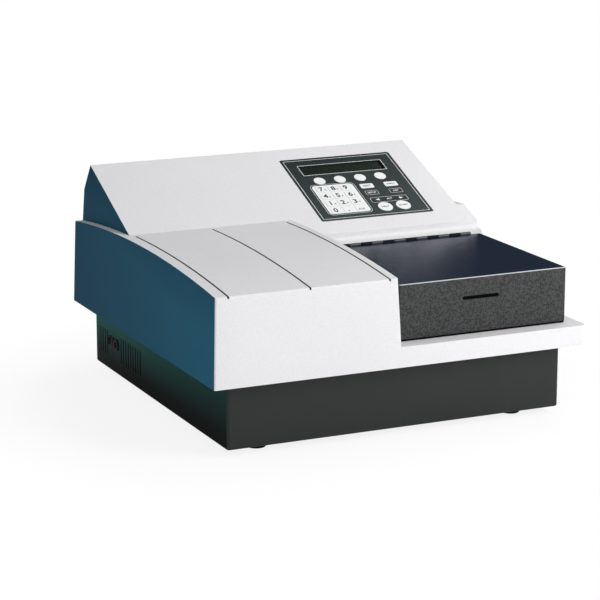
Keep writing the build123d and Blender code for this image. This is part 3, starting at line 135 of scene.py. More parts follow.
def colour(name, text, code):
    """A colour that the user can change, from an sRGB hex value."""
    return bpy.props.FloatVectorProperty(
        name=name, description=text, subtype="COLOR", size=4, min=0.0, max=1.0, default=linear(code)
    )


def length(name, text, value):
    """A length that the user can change, in metres."""
    return bpy.props.FloatProperty(
        name=name, description=text, default=value, min=0.0, unit="LENGTH", precision=5
    )


class ReaderColours(bpy.types.PropertyGroup):
    case: colour("Case", "Light grey of the upper housing", "#dcdbdd")
    # Painted shade: the flanks are the light grey of the case, and these blues stand for their shaded sides
    # under blue light, deeper towards the top rear
    flank_shade: colour("Flank", "Petrol blue of the housing's sides", "#1b5c76")
    flank_deep_shade: colour("Deep flank", "Darker blue towards the top rear", "#033c55")
    base: colour("Base", "Charcoal of the base", "#1b1f1d")
    # Painted light: the base is charcoal all round, and this teal stands for its sides under blue-green light
    base_side_light: colour("Base side", "Dark teal on the sides of the base", "#036a63")
    lid: colour("Lid", "Charcoal on the sides of the lid", "#262728")
    # Painted reflection: the navy in this near black stands for a blue backdrop mirrored in the lid's glossy
    # top
    lid_top: colour("Lid top", "Near black navy on the top of the lid", "#041a33")
    panel: colour("Panel", "Dark overlay of the keypad", "#1b2b2c")
    panel_top: colour("Panel top", "Overlay near the display", "#0b1d1d")
    print_light: colour("Light print", "White lines and key faces", "#e6e9e8")
    print_dark: colour("Dark print", "Figures on the light keys", "#1d2124")
    glass: colour("Display", "Dark green display", "#0d1c10")


class ReaderSizes(bpy.types.PropertyGroup):
    line: length("Line", "Width of the printed lines", 0.00055)
    film: length("Film", "Thickness of the print", 0.00004)
    figure: length("Figure", "Height of the figures on the keys", 0.0072)
    small: length("Small figure", "Height of the small letters", 0.0024)
    word: length("Word", "Height of the words on the keys", 0.0026)


# Mesh building


def mesh_piece(name, points, faces, material, body, slot):
    """A piece from an (n, 3) array of metres and an array or list of faces, riding on a body."""
    mesh = bpy.data.meshes.new(name)
    mesh.from_pydata(np.asarray(points, float).tolist(), [], [list(map(int, f)) for f in faces])
    mesh.update()
    piece = bpy.data.objects.new(name, mesh)
    bpy.context.scene.collection.objects.link(piece)
    mesh.materials.append(material)
    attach(piece, body)
    return piece


def grid_faces(rows, columns, close_rows=True, close_columns=True):
    """Quads of a rows by columns grid, closed round either way.

    They face outwards where the points of a row run anticlockwise as seen along the run of the rows.
    """
    r = np.arange(rows if close_rows else rows - 1)[:, None]
    c = np.arange(columns if close_columns else columns - 1)[None, :]
    r1, c1 = (r + 1) % rows, (c + 1) % columns
    corners = (r * columns + c, r1 * columns + c, r1 * columns + c1, r * columns + c1)
    return np.stack(np.broadcast_arrays(*corners), -1).reshape(-1, 4)


def slab_faces(count):
    """Faces of a slab whose points are a loop in front and the same loop behind: two caps and its sides."""
    around = np.arange(count)
    after = (around + 1) % count
    sides = np.stack((around + count, after + count, after, around), 1)
    return [list(around), list(around[::-1] + count)] + sides.tolist()


def on_slope(x, s, n):
    """Millimetres along X, up the slope and out of it, to metres: a turn by the slope, then a shift."""
    x, s, n = np.broadcast_arrays(np.asarray(x, float), s, n)
    y = FOOT_LINE[1] + s * math.cos(SLOPE) - n * math.sin(SLOPE)
    z = FOOT_LINE[2] + s * math.sin(SLOPE) + n * math.cos(SLOPE)
    return np.stack((x, y, z), -1) * MM


def rounded_loop(width, height, radius, steps=6):
    """Outline of a rectangle whose corners are quarter circles of the radius, anticlockwise."""
    radius = max(radius, 0.01)
    quarter = np.linspace(0, math.pi / 2, steps)
    turns = (quarter[None, :] + np.arange(4)[:, None] * math.pi / 2).reshape(-1)
    sx = np.repeat([1, -1, -1, 1], steps)
    sy = np.repeat([1, 1, -1, -1], steps)
    return np.stack(
        (
            sx * (width / 2 - radius) + radius * np.cos(turns),
            sy * (height / 2 - radius) + radius * np.sin(turns),
        ),
        -1,
    )


def ring_on_slope(x, s, width, height, radius, line, low, high):
    """A closed band: the loop grown and shrunk by half the line, at two heights over the slope."""
    inner = rounded_loop(width - line, height - line, radius - line / 2)
    outer = rounded_loop(width + line, height + line, radius + line / 2)
    section = [(inner, high), (inner, low), (outer, low), (outer, high)]
    points = np.stack([on_slope(x + loop[:, 0], s + loop[:, 1], n) for loop, n in section], 1)
    rows, columns = points.shape[:2]
    return points.reshape(-1, 3), grid_faces(rows, columns)


def plate_on_slope(x, s, loop, low, high):
    """A thin closed plate: the loop at two heights over the slope."""
    top = on_slope(x + loop[:, 0], s + loop[:, 1], high)
    bottom = on_slope(x + loop[:, 0], s + loop[:, 1], low)
    return np.concatenate((top, bottom)), slab_faces(len(loop))


def joined(parts):
    """Several (points, faces) pairs as one."""
    points, faces, start = [], [], 0
    for part_points, part_faces in parts:
        points.append(part_points)
        faces.extend([[int(i) + start for i in face] for face in part_faces])
        start += len(part_points)
    return np.concatenate(points), faces


def box_mesh(x_range, y_range, z_range):
    """A closed box between three pairs of limits in millimetres."""
    points = np.array([(x, y, z) for x in x_range for y in y_range for z in z_range]) * MM
    faces = [(0, 1, 3, 2), (4, 6, 7, 5), (0, 4, 5, 1), (2, 3, 7, 6), (0, 2, 6, 4), (1, 5, 7, 3)]
    return points, faces


def lettering(text, height, x, s, low, film):
    """Built-in letters, made a mesh, centred at x and s on the slope and raised by the film."""
    curve = bpy.data.curves.new("letters", "FONT")
    curve.body = text
    curve.size = height * LETTER_SCALE
    curve.align_x = "CENTER"
    curve.align_y = "CENTER"
    curve.resolution_u = 3
    curve.extrude = film / 2
    curve.offset = height * LETTER_WEIGHT
    holder = bpy.data.objects.new("letters", curve)
    bpy.context.scene.collection.objects.link(holder)
    bpy.context.view_layer.update()
    mesh = bpy.data.meshes.new_from_object(holder)
    # The walls of some holes and notches come out turned in, so the letters are welded and turned outwards
    shape = bmesh.new()
    shape.from_mesh(mesh)
    bmesh.ops.remove_doubles(shape, verts=shape.verts, dist=film / 40)
    bmesh.ops.recalc_face_normals(shape, faces=shape.faces)
    shape.to_mesh(mesh)
    shape.free()
    co = np.empty(len(mesh.vertices) * 3)
    mesh.vertices.foreach_get("co", co)
    co = co.reshape(-1, 3)
    faces = [list(p.vertices) for p in mesh.polygons]
    points = on_slope(x + co[:, 0] / MM, s + co[:, 1] / MM, low + film / 2 / MM + co[:, 2] / MM)
    bpy.data.objects.remove(holder)
    bpy.data.curves.remove(curve)
    bpy.data.meshes.remove(mesh)
    return points, faces


# Materials


def add(tree, kind, values=None, links=None, **settings):
    """One shader node: its settings, the values of its sockets and the sockets that feed it."""
    made = tree.nodes.new(kind)
    for key, value in settings.items():
        setattr(made, key, value)
    for socket, value in (values or {}).items():
        made.inputs[socket].default_value = value
    for socket, source in (links or {}).items():
        tree.links.new(source, made.inputs[socket])
    return made


def bare(made):
    """The node tree of a new material or world, emptied."""
    made.use_nodes = True
    made.node_tree.nodes.clear()
    return made.node_tree


def fresh(name):
    """A new material with only its output and its main shader."""
    material = bpy.data.materials.new(name)
    tree = bare(material)
    shader = add(tree, "ShaderNodeBsdfPrincipled")
    add(tree, "ShaderNodeOutputMaterial", links={"Surface": shader.outputs[0]})
    return material, tree, shader


def dress(material, *nodes):
    """Give CAD nodes one material."""
    for node in nodes:
        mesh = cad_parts[node].data
        mesh.materials.clear()
        mesh.materials.append(material)


def moulded(name, base, rough, grain_mm, depth, specular=0.5, fleck=0.0):
    """Moulded plastic: even colour, faint drift in tone, and a spark-eroded grain that breaks up the gloss.

    The fleck is how much the tone varies from spot to spot. The spots are drawn 1.4 mm coarse, to show.
    """
    material, tree, shader = fresh(name)
    where = add(tree, "ShaderNodeTexCoord")
    grain = add(
        tree, "ShaderNodeTexNoise", {"Scale": 1 / (grain_mm * MM), "Detail": 3.0, "Roughness": 0.6},
        {"Vector": where.outputs["Object"]},
    )
    drift = add(
        tree, "ShaderNodeTexNoise", {"Scale": 9.0, "Detail": 1.0}, {"Vector": where.outputs["Object"]}
    )
    tone = add(tree, "ShaderNodeMapRange", {"To Min": 0.96, "To Max": 1.03}, {"Value": drift.outputs["Fac"]})
    spots = add(
        tree, "ShaderNodeTexNoise", {"Scale": 1 / (1.4 * MM), "Detail": 1.0, "Roughness": 0.6},
        {"Vector": where.outputs["Object"]},
    )
    speckle = add(
        tree, "ShaderNodeMapRange",
        {"From Min": 0.4, "From Max": 0.6, "To Min": 1 - fleck, "To Max": 1 + fleck},
        {"Value": spots.outputs["Fac"]},
    )
    both = add(
        tree, "ShaderNodeMath", links={0: tone.outputs[0], 1: speckle.outputs[0]}, operation="MULTIPLY"
    )
    mixed = add(
        tree, "ShaderNodeMix", {"Factor": 1.0, "A": base}, {"B": both.outputs[0]}, data_type="RGBA",
        blend_type="MULTIPLY",
    )
    gloss = add(
        tree, "ShaderNodeMapRange", {"To Min": rough - 0.06, "To Max": rough + 0.06},
        {"Value": grain.outputs["Fac"]},
    )
    bump = add(
        tree, "ShaderNodeBump", {"Strength": 0.5, "Distance": depth * MM}, {"Height": grain.outputs["Fac"]}
    )
    tree.links.new(mixed.outputs["Result"], shader.inputs["Base Color"])
    tree.links.new(gloss.outputs[0], shader.inputs["Roughness"])
    tree.links.new(bump.outputs[0], shader.inputs["Normal"])
    shader.inputs["Specular IOR Level"].default_value = specular
    return material, tree, shader, where, mixed


def metal(name, base, rough, brush_mm=(0.3, 30.0, 30.0)):
    """Drawn or brushed metal: fine streaks along one axis set the roughness and a slight bump."""
    material, tree, shader = fresh(name)
    where = add(tree, "ShaderNodeTexCoord")
    scale = tuple(1 / (b * MM) for b in brush_mm)
    stretch = add(tree, "ShaderNodeMapping", {"Scale": scale}, {"Vector": where.outputs["Object"]})
    streak = add(tree, "ShaderNodeTexNoise", {"Scale": 1.0, "Detail": 2.0}, {"Vector": stretch.outputs[0]})
    gloss = add(
        tree, "ShaderNodeMapRange", {"To Min": rough - 0.08, "To Max": rough + 0.1},
        {"Value": streak.outputs["Fac"]},
    )
    bump = add(
        tree, "ShaderNodeBump", {"Strength": 0.15, "Distance": 0.02 * MM}, {"Height": streak.outputs["Fac"]}
    )
    tree.links.new(gloss.outputs[0], shader.inputs["Roughness"])
    tree.links.new(bump.outputs[0], shader.inputs["Normal"])
    shader.inputs["Base Color"].default_value = base
    shader.inputs["Metallic"].default_value = 1.0
    return material


def sideways(tree, where):
    """How much a face looks along X, from 0 to 1, and the three coordinates of its place."""
    facing = add(tree, "ShaderNodeSeparateXYZ", links={0: where.outputs["Normal"]})
    side = add(tree, "ShaderNodeMath", links={0: facing.outputs["X"]}, operation="ABSOLUTE")
    turned = add(tree, "ShaderNodeMapRange", {"From Min": 0.9, "From Max": 0.985}, {"Value": side.outputs[0]})
    place = add(tree, "ShaderNodeSeparateXYZ", links={0: where.outputs["Object"]})
    return turned, place


def case_abs(colours):
    """Light grey moulded ABS of the housing. The outer sides carry painted shade: petrol blue, as the shaded
    sides look under blue light, deeper towards the top rear.
    """
    material, tree, shader, where, mixed = moulded(
        "case_moulded_abs", colours.case, 0.5, 0.7, 0.03, fleck=0.025
    )
    turned, place = sideways(tree, where)
    # Faces within 177.5 mm of the middle, such as the hump's right wall, stay grey
    out = add(tree, "ShaderNodeMath", links={0: place.outputs["X"]}, operation="ABSOLUTE")
    outer = add(tree, "ShaderNodeMath", {1: 0.1775}, {0: out.outputs[0]}, operation="GREATER_THAN")
    shade_mask = add(
        tree, "ShaderNodeMath", links={0: turned.outputs[0], 1: outer.outputs[0]}, operation="MULTIPLY"
    )
    rise = add(
        tree, "ShaderNodeMapRange", {"From Min": 0.12, "From Max": 0.215}, {"Value": place.outputs["Z"]}
    )
    rear = add(
        tree, "ShaderNodeMapRange", {"From Min": -0.12, "From Max": 0.25, "To Max": 0.8},
        {"Value": place.outputs["Y"]},
    )
    shade_depth = add(tree, "ShaderNodeMath", links={0: rise.outputs[0], 1: rear.outputs[0]}, operation="MAXIMUM")
    # Painted shade on the outer sides: blue, mixed towards the deeper blue at the top rear
    flank_shade = add(
        tree, "ShaderNodeMix", {"A": colours.flank_shade, "B": colours.flank_deep_shade}, {"Factor": shade_depth.outputs[0]},
        data_type="RGBA",
    )
    final = add(
        tree,
        "ShaderNodeMix",
        links={"Factor": shade_mask.outputs[0], "A": mixed.outputs["Result"], "B": flank_shade.outputs["Result"]},
        data_type="RGBA",
    )
    # The painted blue shade is kept flat and dull
    dull = add(tree, "ShaderNodeMapRange", {"To Min": 0.5, "To Max": 0.04}, {"Value": shade_mask.outputs[0]})
    tree.links.new(final.outputs["Result"], shader.inputs["Base Color"])
    tree.links.new(dull.outputs[0], shader.inputs["Specular IOR Level"])
    return material


def base_abs(colours):
    """Charcoal moulded ABS of the base. Its outer sides carry painted light: teal, as the charcoal sides look
    under blue-green light, fading to near black at the bottom and less teal towards the front.
    """
    material, tree, shader, where, mixed = moulded(
        "base_moulded_abs", colours.base, 0.5, 0.7, 0.03, fleck=0.06
    )
    turned, place = sideways(tree, where)
    # Painted light on the outer sides: teal where the blue-green light falls, near black lower down and
    # towards the front
    rise = add(
        tree, "ShaderNodeMapRange", {"From Min": 0.02, "From Max": 0.07}, {"Value": place.outputs["Z"]}
    )
    rear = add(
        tree, "ShaderNodeMapRange", {"From Min": -0.16, "From Max": 0.16, "To Min": 0.3},
        {"Value": place.outputs["Y"]},
    )
    lit = add(tree, "ShaderNodeMath", links={0: rise.outputs[0], 1: rear.outputs[0]}, operation="MULTIPLY")
    fade = add(
        tree, "ShaderNodeMix", {"A": linear("#04080a"), "B": colours.base_side_light}, {"Factor": lit.outputs[0]},
        data_type="RGBA",
    )
    final = add(
        tree,
        "ShaderNodeMix",
        links={"Factor": turned.outputs[0], "A": mixed.outputs["Result"], "B": fade.outputs["Result"]},
        data_type="RGBA",
    )
    dull = add(tree, "ShaderNodeMapRange", {"To Min": 0.4, "To Max": 0.06}, {"Value": turned.outputs[0]})
    tree.links.new(final.outputs["Result"], shader.inputs["Base Color"])
    tree.links.new(dull.outputs[0], shader.inputs["Specular IOR Level"])
    return material


def lid_abs(colours):
    """Charcoal ABS with a coarse pebble grain on the sides of the lid and a smooth, glossy near black top,
    tinted navy by a painted reflection of blue light, with a painted highlight along the front top edge.
    """
    material, tree, shader, where, mixed = moulded(
        "lid_pebbled_abs", colours.lid, 0.42, 0.5, 0.02, fleck=0.85
    )
    pebble = add(
        tree, "ShaderNodeTexVoronoi", {"Scale": 1 / (1.1 * MM), "Randomness": 1.0},
        {"Vector": where.outputs["Object"]}, feature="F1",
    )
    facing = add(tree, "ShaderNodeSeparateXYZ", links={0: where.outputs["Normal"]})
    upright = add(
        tree, "ShaderNodeMapRange", {"From Min": 0.95, "From Max": 0.2, "To Min": 0.12, "To Max": 1.0},
        {"Value": facing.outputs["Z"]},
    )
    height = add(
        tree, "ShaderNodeMath", links={0: pebble.outputs["Distance"], 1: upright.outputs[0]},
        operation="MULTIPLY",
    )
    flat = add(
        tree, "ShaderNodeMapRange", {"From Min": 0.6, "From Max": 0.97}, {"Value": facing.outputs["Z"]}
    )
    # The top faces take the near black with its painted navy reflection
    topped = add(
        tree, "ShaderNodeMix", {"B": colours.lid_top},
        {"Factor": flat.outputs[0], "A": mixed.outputs["Result"]}, data_type="RGBA",
    )
    # Painted highlight on the rounded edge between front and top: a pale line where the edge catches the
    # light
    out = add(tree, "ShaderNodeMath", {1: -1.0}, {0: facing.outputs["Y"]}, operation="MULTIPLY")
    bend = add(tree, "ShaderNodeMath", links={0: out.outputs[0], 1: facing.outputs["Z"]}, operation="MINIMUM")
    edge = add(tree, "ShaderNodeMapRange", {"From Min": 0.3, "From Max": 0.55}, {"Value": bend.outputs[0]})
    final = add(
        tree, "ShaderNodeMix", {"B": linear("#b9c0c6")},
        {"Factor": edge.outputs[0], "A": topped.outputs["Result"]}, data_type="RGBA",
    )
    # The top is polished by use, so it mirrors the pale console near the hinge
    gloss = add(tree, "ShaderNodeMapRange", {"To Min": 0.5, "To Max": 0.22}, {"Value": flat.outputs[0]})
    tree.links.new(final.outputs["Result"], shader.inputs["Base Color"])
    tree.links.new(gloss.outputs[0], shader.inputs["Roughness"])
    bump = add(
        tree, "ShaderNodeBump", {"Strength": 0.7, "Distance": 0.25 * MM}, {"Height": height.outputs[0]},
        invert=True,
    )
    tree.links.new(bump.outputs[0], shader.inputs["Normal"])
    return material


def overlay_film(colours):
    """Printed polyester overlay: semi-matt green-grey, darker near the display, white in the number field."""
    material, tree, shader = fresh("keypad_overlay_film")
    where = add(tree, "ShaderNodeTexCoord")
    flat = add(
        tree, "ShaderNodeMapping",
        {"Location": (0, -FOOT_LINE[1] * MM, -FOOT_LINE[2] * MM)}, {"Vector": where.outputs["Object"]},
        vector_type="POINT",
    )
    turn = add(
        tree, "ShaderNodeMapping", {"Rotation": (-SLOPE, 0, 0)}, {"Vector": flat.outputs[0]},
        vector_type="POINT",
    )
    place = add(tree, "ShaderNodeSeparateXYZ", links={0: turn.outputs[0]})
    rise = add(
        tree, "ShaderNodeMapRange", {"From Min": 0.03, "From Max": 0.105}, {"Value": place.outputs["Y"]}
    )
    dark = add(
        tree, "ShaderNodeMix", {"A": colours.panel, "B": colours.panel_top}, {"Factor": rise.outputs[0]},
        data_type="RGBA",
    )
    # The field is where the distance past its half sizes is less than the radius of its corners
    past = {}
    for axis, middle, half in zip("XY", FIELD_MIDDLE, FIELD_HALF):
        off = add(tree, "ShaderNodeMath", {1: middle}, {0: place.outputs[axis]}, operation="SUBTRACT")
        away = add(tree, "ShaderNodeMath", links={0: off.outputs[0]}, operation="ABSOLUTE")
        over = add(tree, "ShaderNodeMath", {1: half}, {0: away.outputs[0]}, operation="SUBTRACT")
        kept = add(tree, "ShaderNodeMath", {1: 0.0}, {0: over.outputs[0]}, operation="MAXIMUM")
        past[axis] = kept.outputs[0]
    reach = add(tree, "ShaderNodeCombineXYZ", links=past)
    far = add(tree, "ShaderNodeVectorMath", links={0: reach.outputs[0]}, operation="LENGTH")
    inside = add(tree, "ShaderNodeMath", {1: FIELD_CORNER}, {0: far.outputs["Value"]}, operation="LESS_THAN")
    final = add(
        tree, "ShaderNodeMix", {"B": colours.print_light},
        {"Factor": inside.outputs[0], "A": dark.outputs["Result"]}, data_type="RGBA",
    )
    grain = add(tree, "ShaderNodeTexNoise", {"Scale": 1 / (0.3 * MM)}, {"Vector": where.outputs["Object"]})
    gloss = add(tree, "ShaderNodeMapRange", {"To Min": 0.34, "To Max": 0.46}, {"Value": grain.outputs["Fac"]})
    tree.links.new(final.outputs["Result"], shader.inputs["Base Color"])
    tree.links.new(gloss.outputs[0], shader.inputs["Roughness"])
    shader.inputs["Specular IOR Level"].default_value = 0.3
    return material


def display_glass(colours):
    """Acrylic window over a reflective display: dark green, glossy, with faint rows of character cells."""
    material, tree, shader = fresh("display_window_acrylic")
    where = add(tree, "ShaderNodeTexCoord")
    cells = add(
        tree, "ShaderNodeTexBrick",
        {
            "Color1": (1, 1, 1, 1), "Color2": (0.97, 0.97, 0.97, 1), "Mortar": (0.8, 0.8, 0.8, 1),
            "Scale": 1 / (4.0 * MM), "Mortar Size": 0.06, "Brick Width": 1.0, "Row Height": 2.0,
        },
        {"Vector": where.outputs["Object"]}, offset=0.0,
    )
    tint = add(
        tree, "ShaderNodeMix", {"Factor": 0.5, "A": colours.glass}, {"B": cells.outputs["Color"]},
        data_type="RGBA", blend_type="MULTIPLY",
    )
    tree.links.new(tint.outputs["Result"], shader.inputs["Base Color"])
    shader.inputs["Roughness"].default_value = 0.16
    shader.inputs["Coat Weight"].default_value = 0.6
    return material


def plain_print(name, base, rough=0.45):
    """Screen-printed ink or a printed key face: flat colour with the slight mottle of ink on film."""
    material, tree, shader = fresh(name)
    where = add(tree, "ShaderNodeTexCoord")
    mottle = add(
        tree, "ShaderNodeTexNoise", {"Scale": 1 / (0.8 * MM), "Detail": 2.0},
        {"Vector": where.outputs["Object"]},
    )
    tone = add(tree, "ShaderNodeMapRange", {"To Min": 0.95, "To Max": 1.03}, {"Value": mottle.outputs["Fac"]})
    mixed = add(
        tree, "ShaderNodeMix", {"Factor": 1.0, "A": base}, {"B": tone.outputs[0]}, data_type="RGBA",
        blend_type="MULTIPLY",
    )
    tree.links.new(mixed.outputs["Result"], shader.inputs["Base Color"])
    shader.inputs["Roughness"].default_value = rough
    return material


# What the number keys show: a figure, and a small letter or word. Then the words on the other keys
NUMBER_KEYS = {
    "0": ("0", ""), "point": (".", ""), "symbol": ("", "PLUS"),
    "1": ("1", "A"), "2": ("2", "B"), "3": ("3", "C"),
    "4": ("4", "D"), "5": ("5", "E"), "6": ("6", "F"),
    "7": ("7", "G"), "8": ("8", "H"), "9": ("9", ""),
}
WORDS = {
    "clear_key": "RESET", "enter_key": "APPLY", "options_key": "SETUP", "menu_key": "LIST",
    "stop_key": "HALT", "read_key": "START", "shift_key": "ALT",
}
SOFT_KEYS = [f"soft_key_{i}" for i in range(1, 5)]
LIGHT_KEYS = SOFT_KEYS + ["clear_key", "enter_key", "stop_key", "read_key"]
LIGHT_KEYS += [f"number_key_{k}" for k in NUMBER_KEYS]
DARK_KEYS = ["options_key", "menu_key", "left_key", "shift_key", "right_key"]


def key_middle(node):
    """Where the middle of a key's box lies, millimetres: its x, and how far up the slope."""
    low, high = (np.array(corner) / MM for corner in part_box(node))
    middle = (low + high) / 2
    up = middle[1:] - np.array(FOOT_LINE[1:])
    return middle[0], up[0] * math.cos(SLOPE) + up[1] * math.sin(SLOPE)


class READER_OT_case(bpy.types.Operator):
    """Dress the housing, the base, its feet, the timing belt and the fibre bundle."""

    bl_idname = "reader.case"
    bl_label = "Case"

    def execute(self, context):
        colours = context.scene.reader_colours
        dress(case_abs(colours), "top_housing")
        dress(base_abs(colours), "base_pan")
        rubber = moulded("foot_rubber", linear("#161617"), 0.75, 0.4, 0.04, specular=0.3)[0]
        dress(rubber, "rubber_feet", "timing_belt", "fibre_bundle")
        return {"FINISHED"}


class READER_OT_channels(bpy.types.Operator):
    """Lay a dark strip in each of the three channels along the crown, painted shade for the shadow in the
    grooves.
    """

    bl_idname = "reader.channels"
    bl_label = "Channel strips"

    def execute(self, context):
        # The strips' dark colour is painted shade for the shadow in the grooves
        rubber = moulded("channel_shade", linear("#1c1d1f"), 0.7, 0.4, 0.02, specular=0.2)[0]
        # Radius of the arc from its chord and rise, and the height of its top over each y
        radius = (HALF_DEPTH**2 + CROWN_RISE**2) / (2 * CROWN_RISE)
        y = np.linspace(*CHANNEL_Y, STRIP_STEPS)
        crown = CROWN_EDGE + CROWN_RISE - radius + np.sqrt(radius**2 - y**2)
        wide, low, high = STRIP_HALF_WIDTH, STRIP_LOW, STRIP_HIGH
        section = [(-wide, low), (wide, low), (wide, high), (-wide, high)]
        last = 4 * (STRIP_STEPS - 1)
        ends = [[0, 1, 2, 3], [last + 3, last + 2, last + 1, last]]
        faces = grid_faces(STRIP_STEPS, 4, close_rows=False).tolist() + ends
        for index, x in enumerate(CHANNEL_X):
            lines = [np.stack((np.full_like(y, x + dx), y, crown + dz), -1) for dx, dz in section]
            points = np.stack(lines, 1).reshape(-1, 3) * MM
            mesh_piece(f"channel_shade_strip_{index + 1}", points, faces, rubber, "reader", "rubber")
        return {"FINISHED"}


class READER_OT_lid(bpy.types.Operator):
    """Dress the lid and its piano hinge."""

    bl_idname = "reader.lid"
    bl_label = "Lid and hinge"

    def execute(self, context):
        dress(lid_abs(context.scene.reader_colours), "lid")
        dress(metal("hinge_drawn_steel", linear("#56575a"), 0.5), "hinge_fixed_leaf", "hinge_pin")
        dress(metal("hinge_blackened_steel", linear("#1d1e20"), 0.5), "hinge_moving_leaf")
        # Black for the light seal, and painted shade in the gap under the lid and in the grip's recess
        seal_and_shade = moulded("black_seal_and_shade", linear("#060607"), 0.9, 0.4, 0.05, specular=0.05)[0]
        # Light seal along the lid's lower edge: one bar at the front and one at the right. Its black also
        # stands in for the shadow in the gap under the lid
        corner = SEAL_Y[0] + SEAL_WIDTH
        bars = [
            box_mesh(SEAL_X, (SEAL_Y[0], corner), SEAL_Z),
            box_mesh((SEAL_X[1] - SEAL_WIDTH, SEAL_X[1]), (corner, SEAL_Y[1]), SEAL_Z),
        ]
        mesh_piece("lid_seal", *joined(bars), seal_and_shade, "lid_assembly", "rubber")
        # Finger grip: a flat slot-shaped black inlay on the floor of the recess, painted shade for the shadow
        # in it
        loop = rounded_loop(GRIP_WIDTH, GRIP_HEIGHT, GRIP_CORNER)
        x, z = GRIP_X + loop[:, 0], GRIP_Z + loop[:, 1]
        points = np.concatenate([np.stack((x, np.full_like(x, y), z), -1) for y in GRIP_Y]) * MM
        mesh_piece("lid_grip_shade", points, slab_faces(len(loop)), seal_and_shade, "lid_assembly", "rubber")
        return {"FINISHED"}


class READER_OT_keypad(bpy.types.Operator):
    """Dress the keypad panel, its keys and the display."""

    bl_idname = "reader.keypad"
    bl_label = "Keypad"

    def execute(self, context):
        colours = context.scene.reader_colours
        dress(overlay_film(colours), "keypad_panel")
        dress(display_glass(colours), "display_window")
        dress(plain_print("light_key_film", colours.print_light), *LIGHT_KEYS)
        dress(plain_print("dark_key_film", linear("#050707"), 0.5), *DARK_KEYS)
        return {"FINISHED"}


class READER_OT_lines(bpy.types.Operator):
    """Print the white lines round the panel, the display, the number field and the keys."""

    bl_idname = "reader.lines"
    bl_label = "Printed lines"

    def execute(self, context):
        sizes, colours = context.scene.reader_sizes, context.scene.reader_colours
        line, film = sizes.line / MM, sizes.film / MM
        white = plain_print("white_ink", colours.print_light)
        rings = [ring_on_slope(*place, line * share, 0.0, film) for *place, share in PANEL_OUTLINES]
        mesh_piece("panel_lines", *joined(rings), white, "reader", "key_white")
        thin = line * KEY_OUTLINE_SHARE
        for node in ("options_key", "menu_key"):
            made = ring_on_slope(*key_middle(node), *KEY_OUTLINE, thin, KEY_RISE, KEY_RISE + film)
            mesh_piece(node + "_line", *made, white, node + "_body", "key_white")
        return {"FINISHED"}


class READER_OT_legends(bpy.types.Operator):
    """Print the figures and words on the keys."""

    bl_idname = "reader.legends"
    bl_label = "Key legends"

    def execute(self, context):
        sizes, colours = context.scene.reader_sizes, context.scene.reader_colours
        film = sizes.film
        dark = plain_print("dark_ink", colours.print_dark)
        white = plain_print("light_ink", colours.print_light)
        for key, (figure, small) in NUMBER_KEYS.items():
            node = f"number_key_{key}"
            x, s = key_middle(node)
            parts = []
            if figure:
                parts.append(lettering(figure, sizes.figure, x + FIGURE_SHIFT, s, KEY_RISE, film))
            if small:
                across, up = SMALL_SHIFT
                across = across if figure else 0.0
                parts.append(lettering(small, sizes.small, x + across, s + up, KEY_RISE, film))
            mesh_piece(node + "_figure", *joined(parts), dark, node + "_body", "key_dark")
        for node, word in WORDS.items():
            ink, slot = (white, "key_white") if node in DARK_KEYS else (dark, "key_dark")
            made = lettering(word, sizes.word, *key_middle(node), KEY_RISE, film)
            mesh_piece(node + "_word", *made, ink, node + "_body", slot)
        for node, side in (("left_key", 1), ("right_key", -1)):
            made = plate_on_slope(*key_middle(node), np.array(ARROW) * side, KEY_RISE, KEY_RISE + film / MM)
            mesh_piece(node + "_arrow", *made, white, node + "_body", "key_white")
        return {"FINISHED"}


class READER_OT_inside(bpy.types.Operator):
    """Dress the carriage, drive, optics, boards, fan and connectors."""

    bl_idname = "reader.inside"
    bl_label = "Inside"

    def execute(self, context):
        steel = metal("ground_steel", linear("#b4b6b8"), 0.22)
        zinc = metal("zinc_plated_sheet", linear("#a3a9a8"), 0.42, (4.0, 4.0, 4.0))
        alloy = metal("machined_aluminium", linear("#b9bcbe"), 0.36)
        bronze = metal("sintered_bronze", linear("#a07a44"), 0.5, (0.6, 0.6, 0.6))
        black = moulded("black_moulded_abs", linear("#1a1b1c"), 0.48, 0.5, 0.02)[0]
        board = moulded("green_laminate", linear("#1d4a31"), 0.36, 1.2, 0.02)[0]
        quartz = plain_print("quartz_bulb", linear("#dfe6ea"), 0.08)
        coated = plain_print("coated_filter", linear("#5a3a78"), 0.1)
        dress(steel, "guide_rod", "support_rail", "case_screws", "data_ports")
        dress(zinc, "mechanism_plate")
        dress(alloy, "lamp_holder", "optics_head", "filter_wheel", "drive_pulley", "idler_pulley")
        dress(bronze, "carrier_bushings")
        dress(black, "plate_carrier", "carriage_motor", "filter_motor", "fan_frame", "fan_rotor")
        dark = moulded("glossy_black_nylon", linear("#060707"), 0.45, 0.5, 0.01, specular=0.1)[0]
        dress(dark, "switch_body", "switch_rocker", "dc_inlet")
        dress(board, "main_board", "detector_board", "lcd_module")
        dress(quartz, "halogen_lamp")
        dress(coated, "optical_filters")
        return {"FINISHED"}


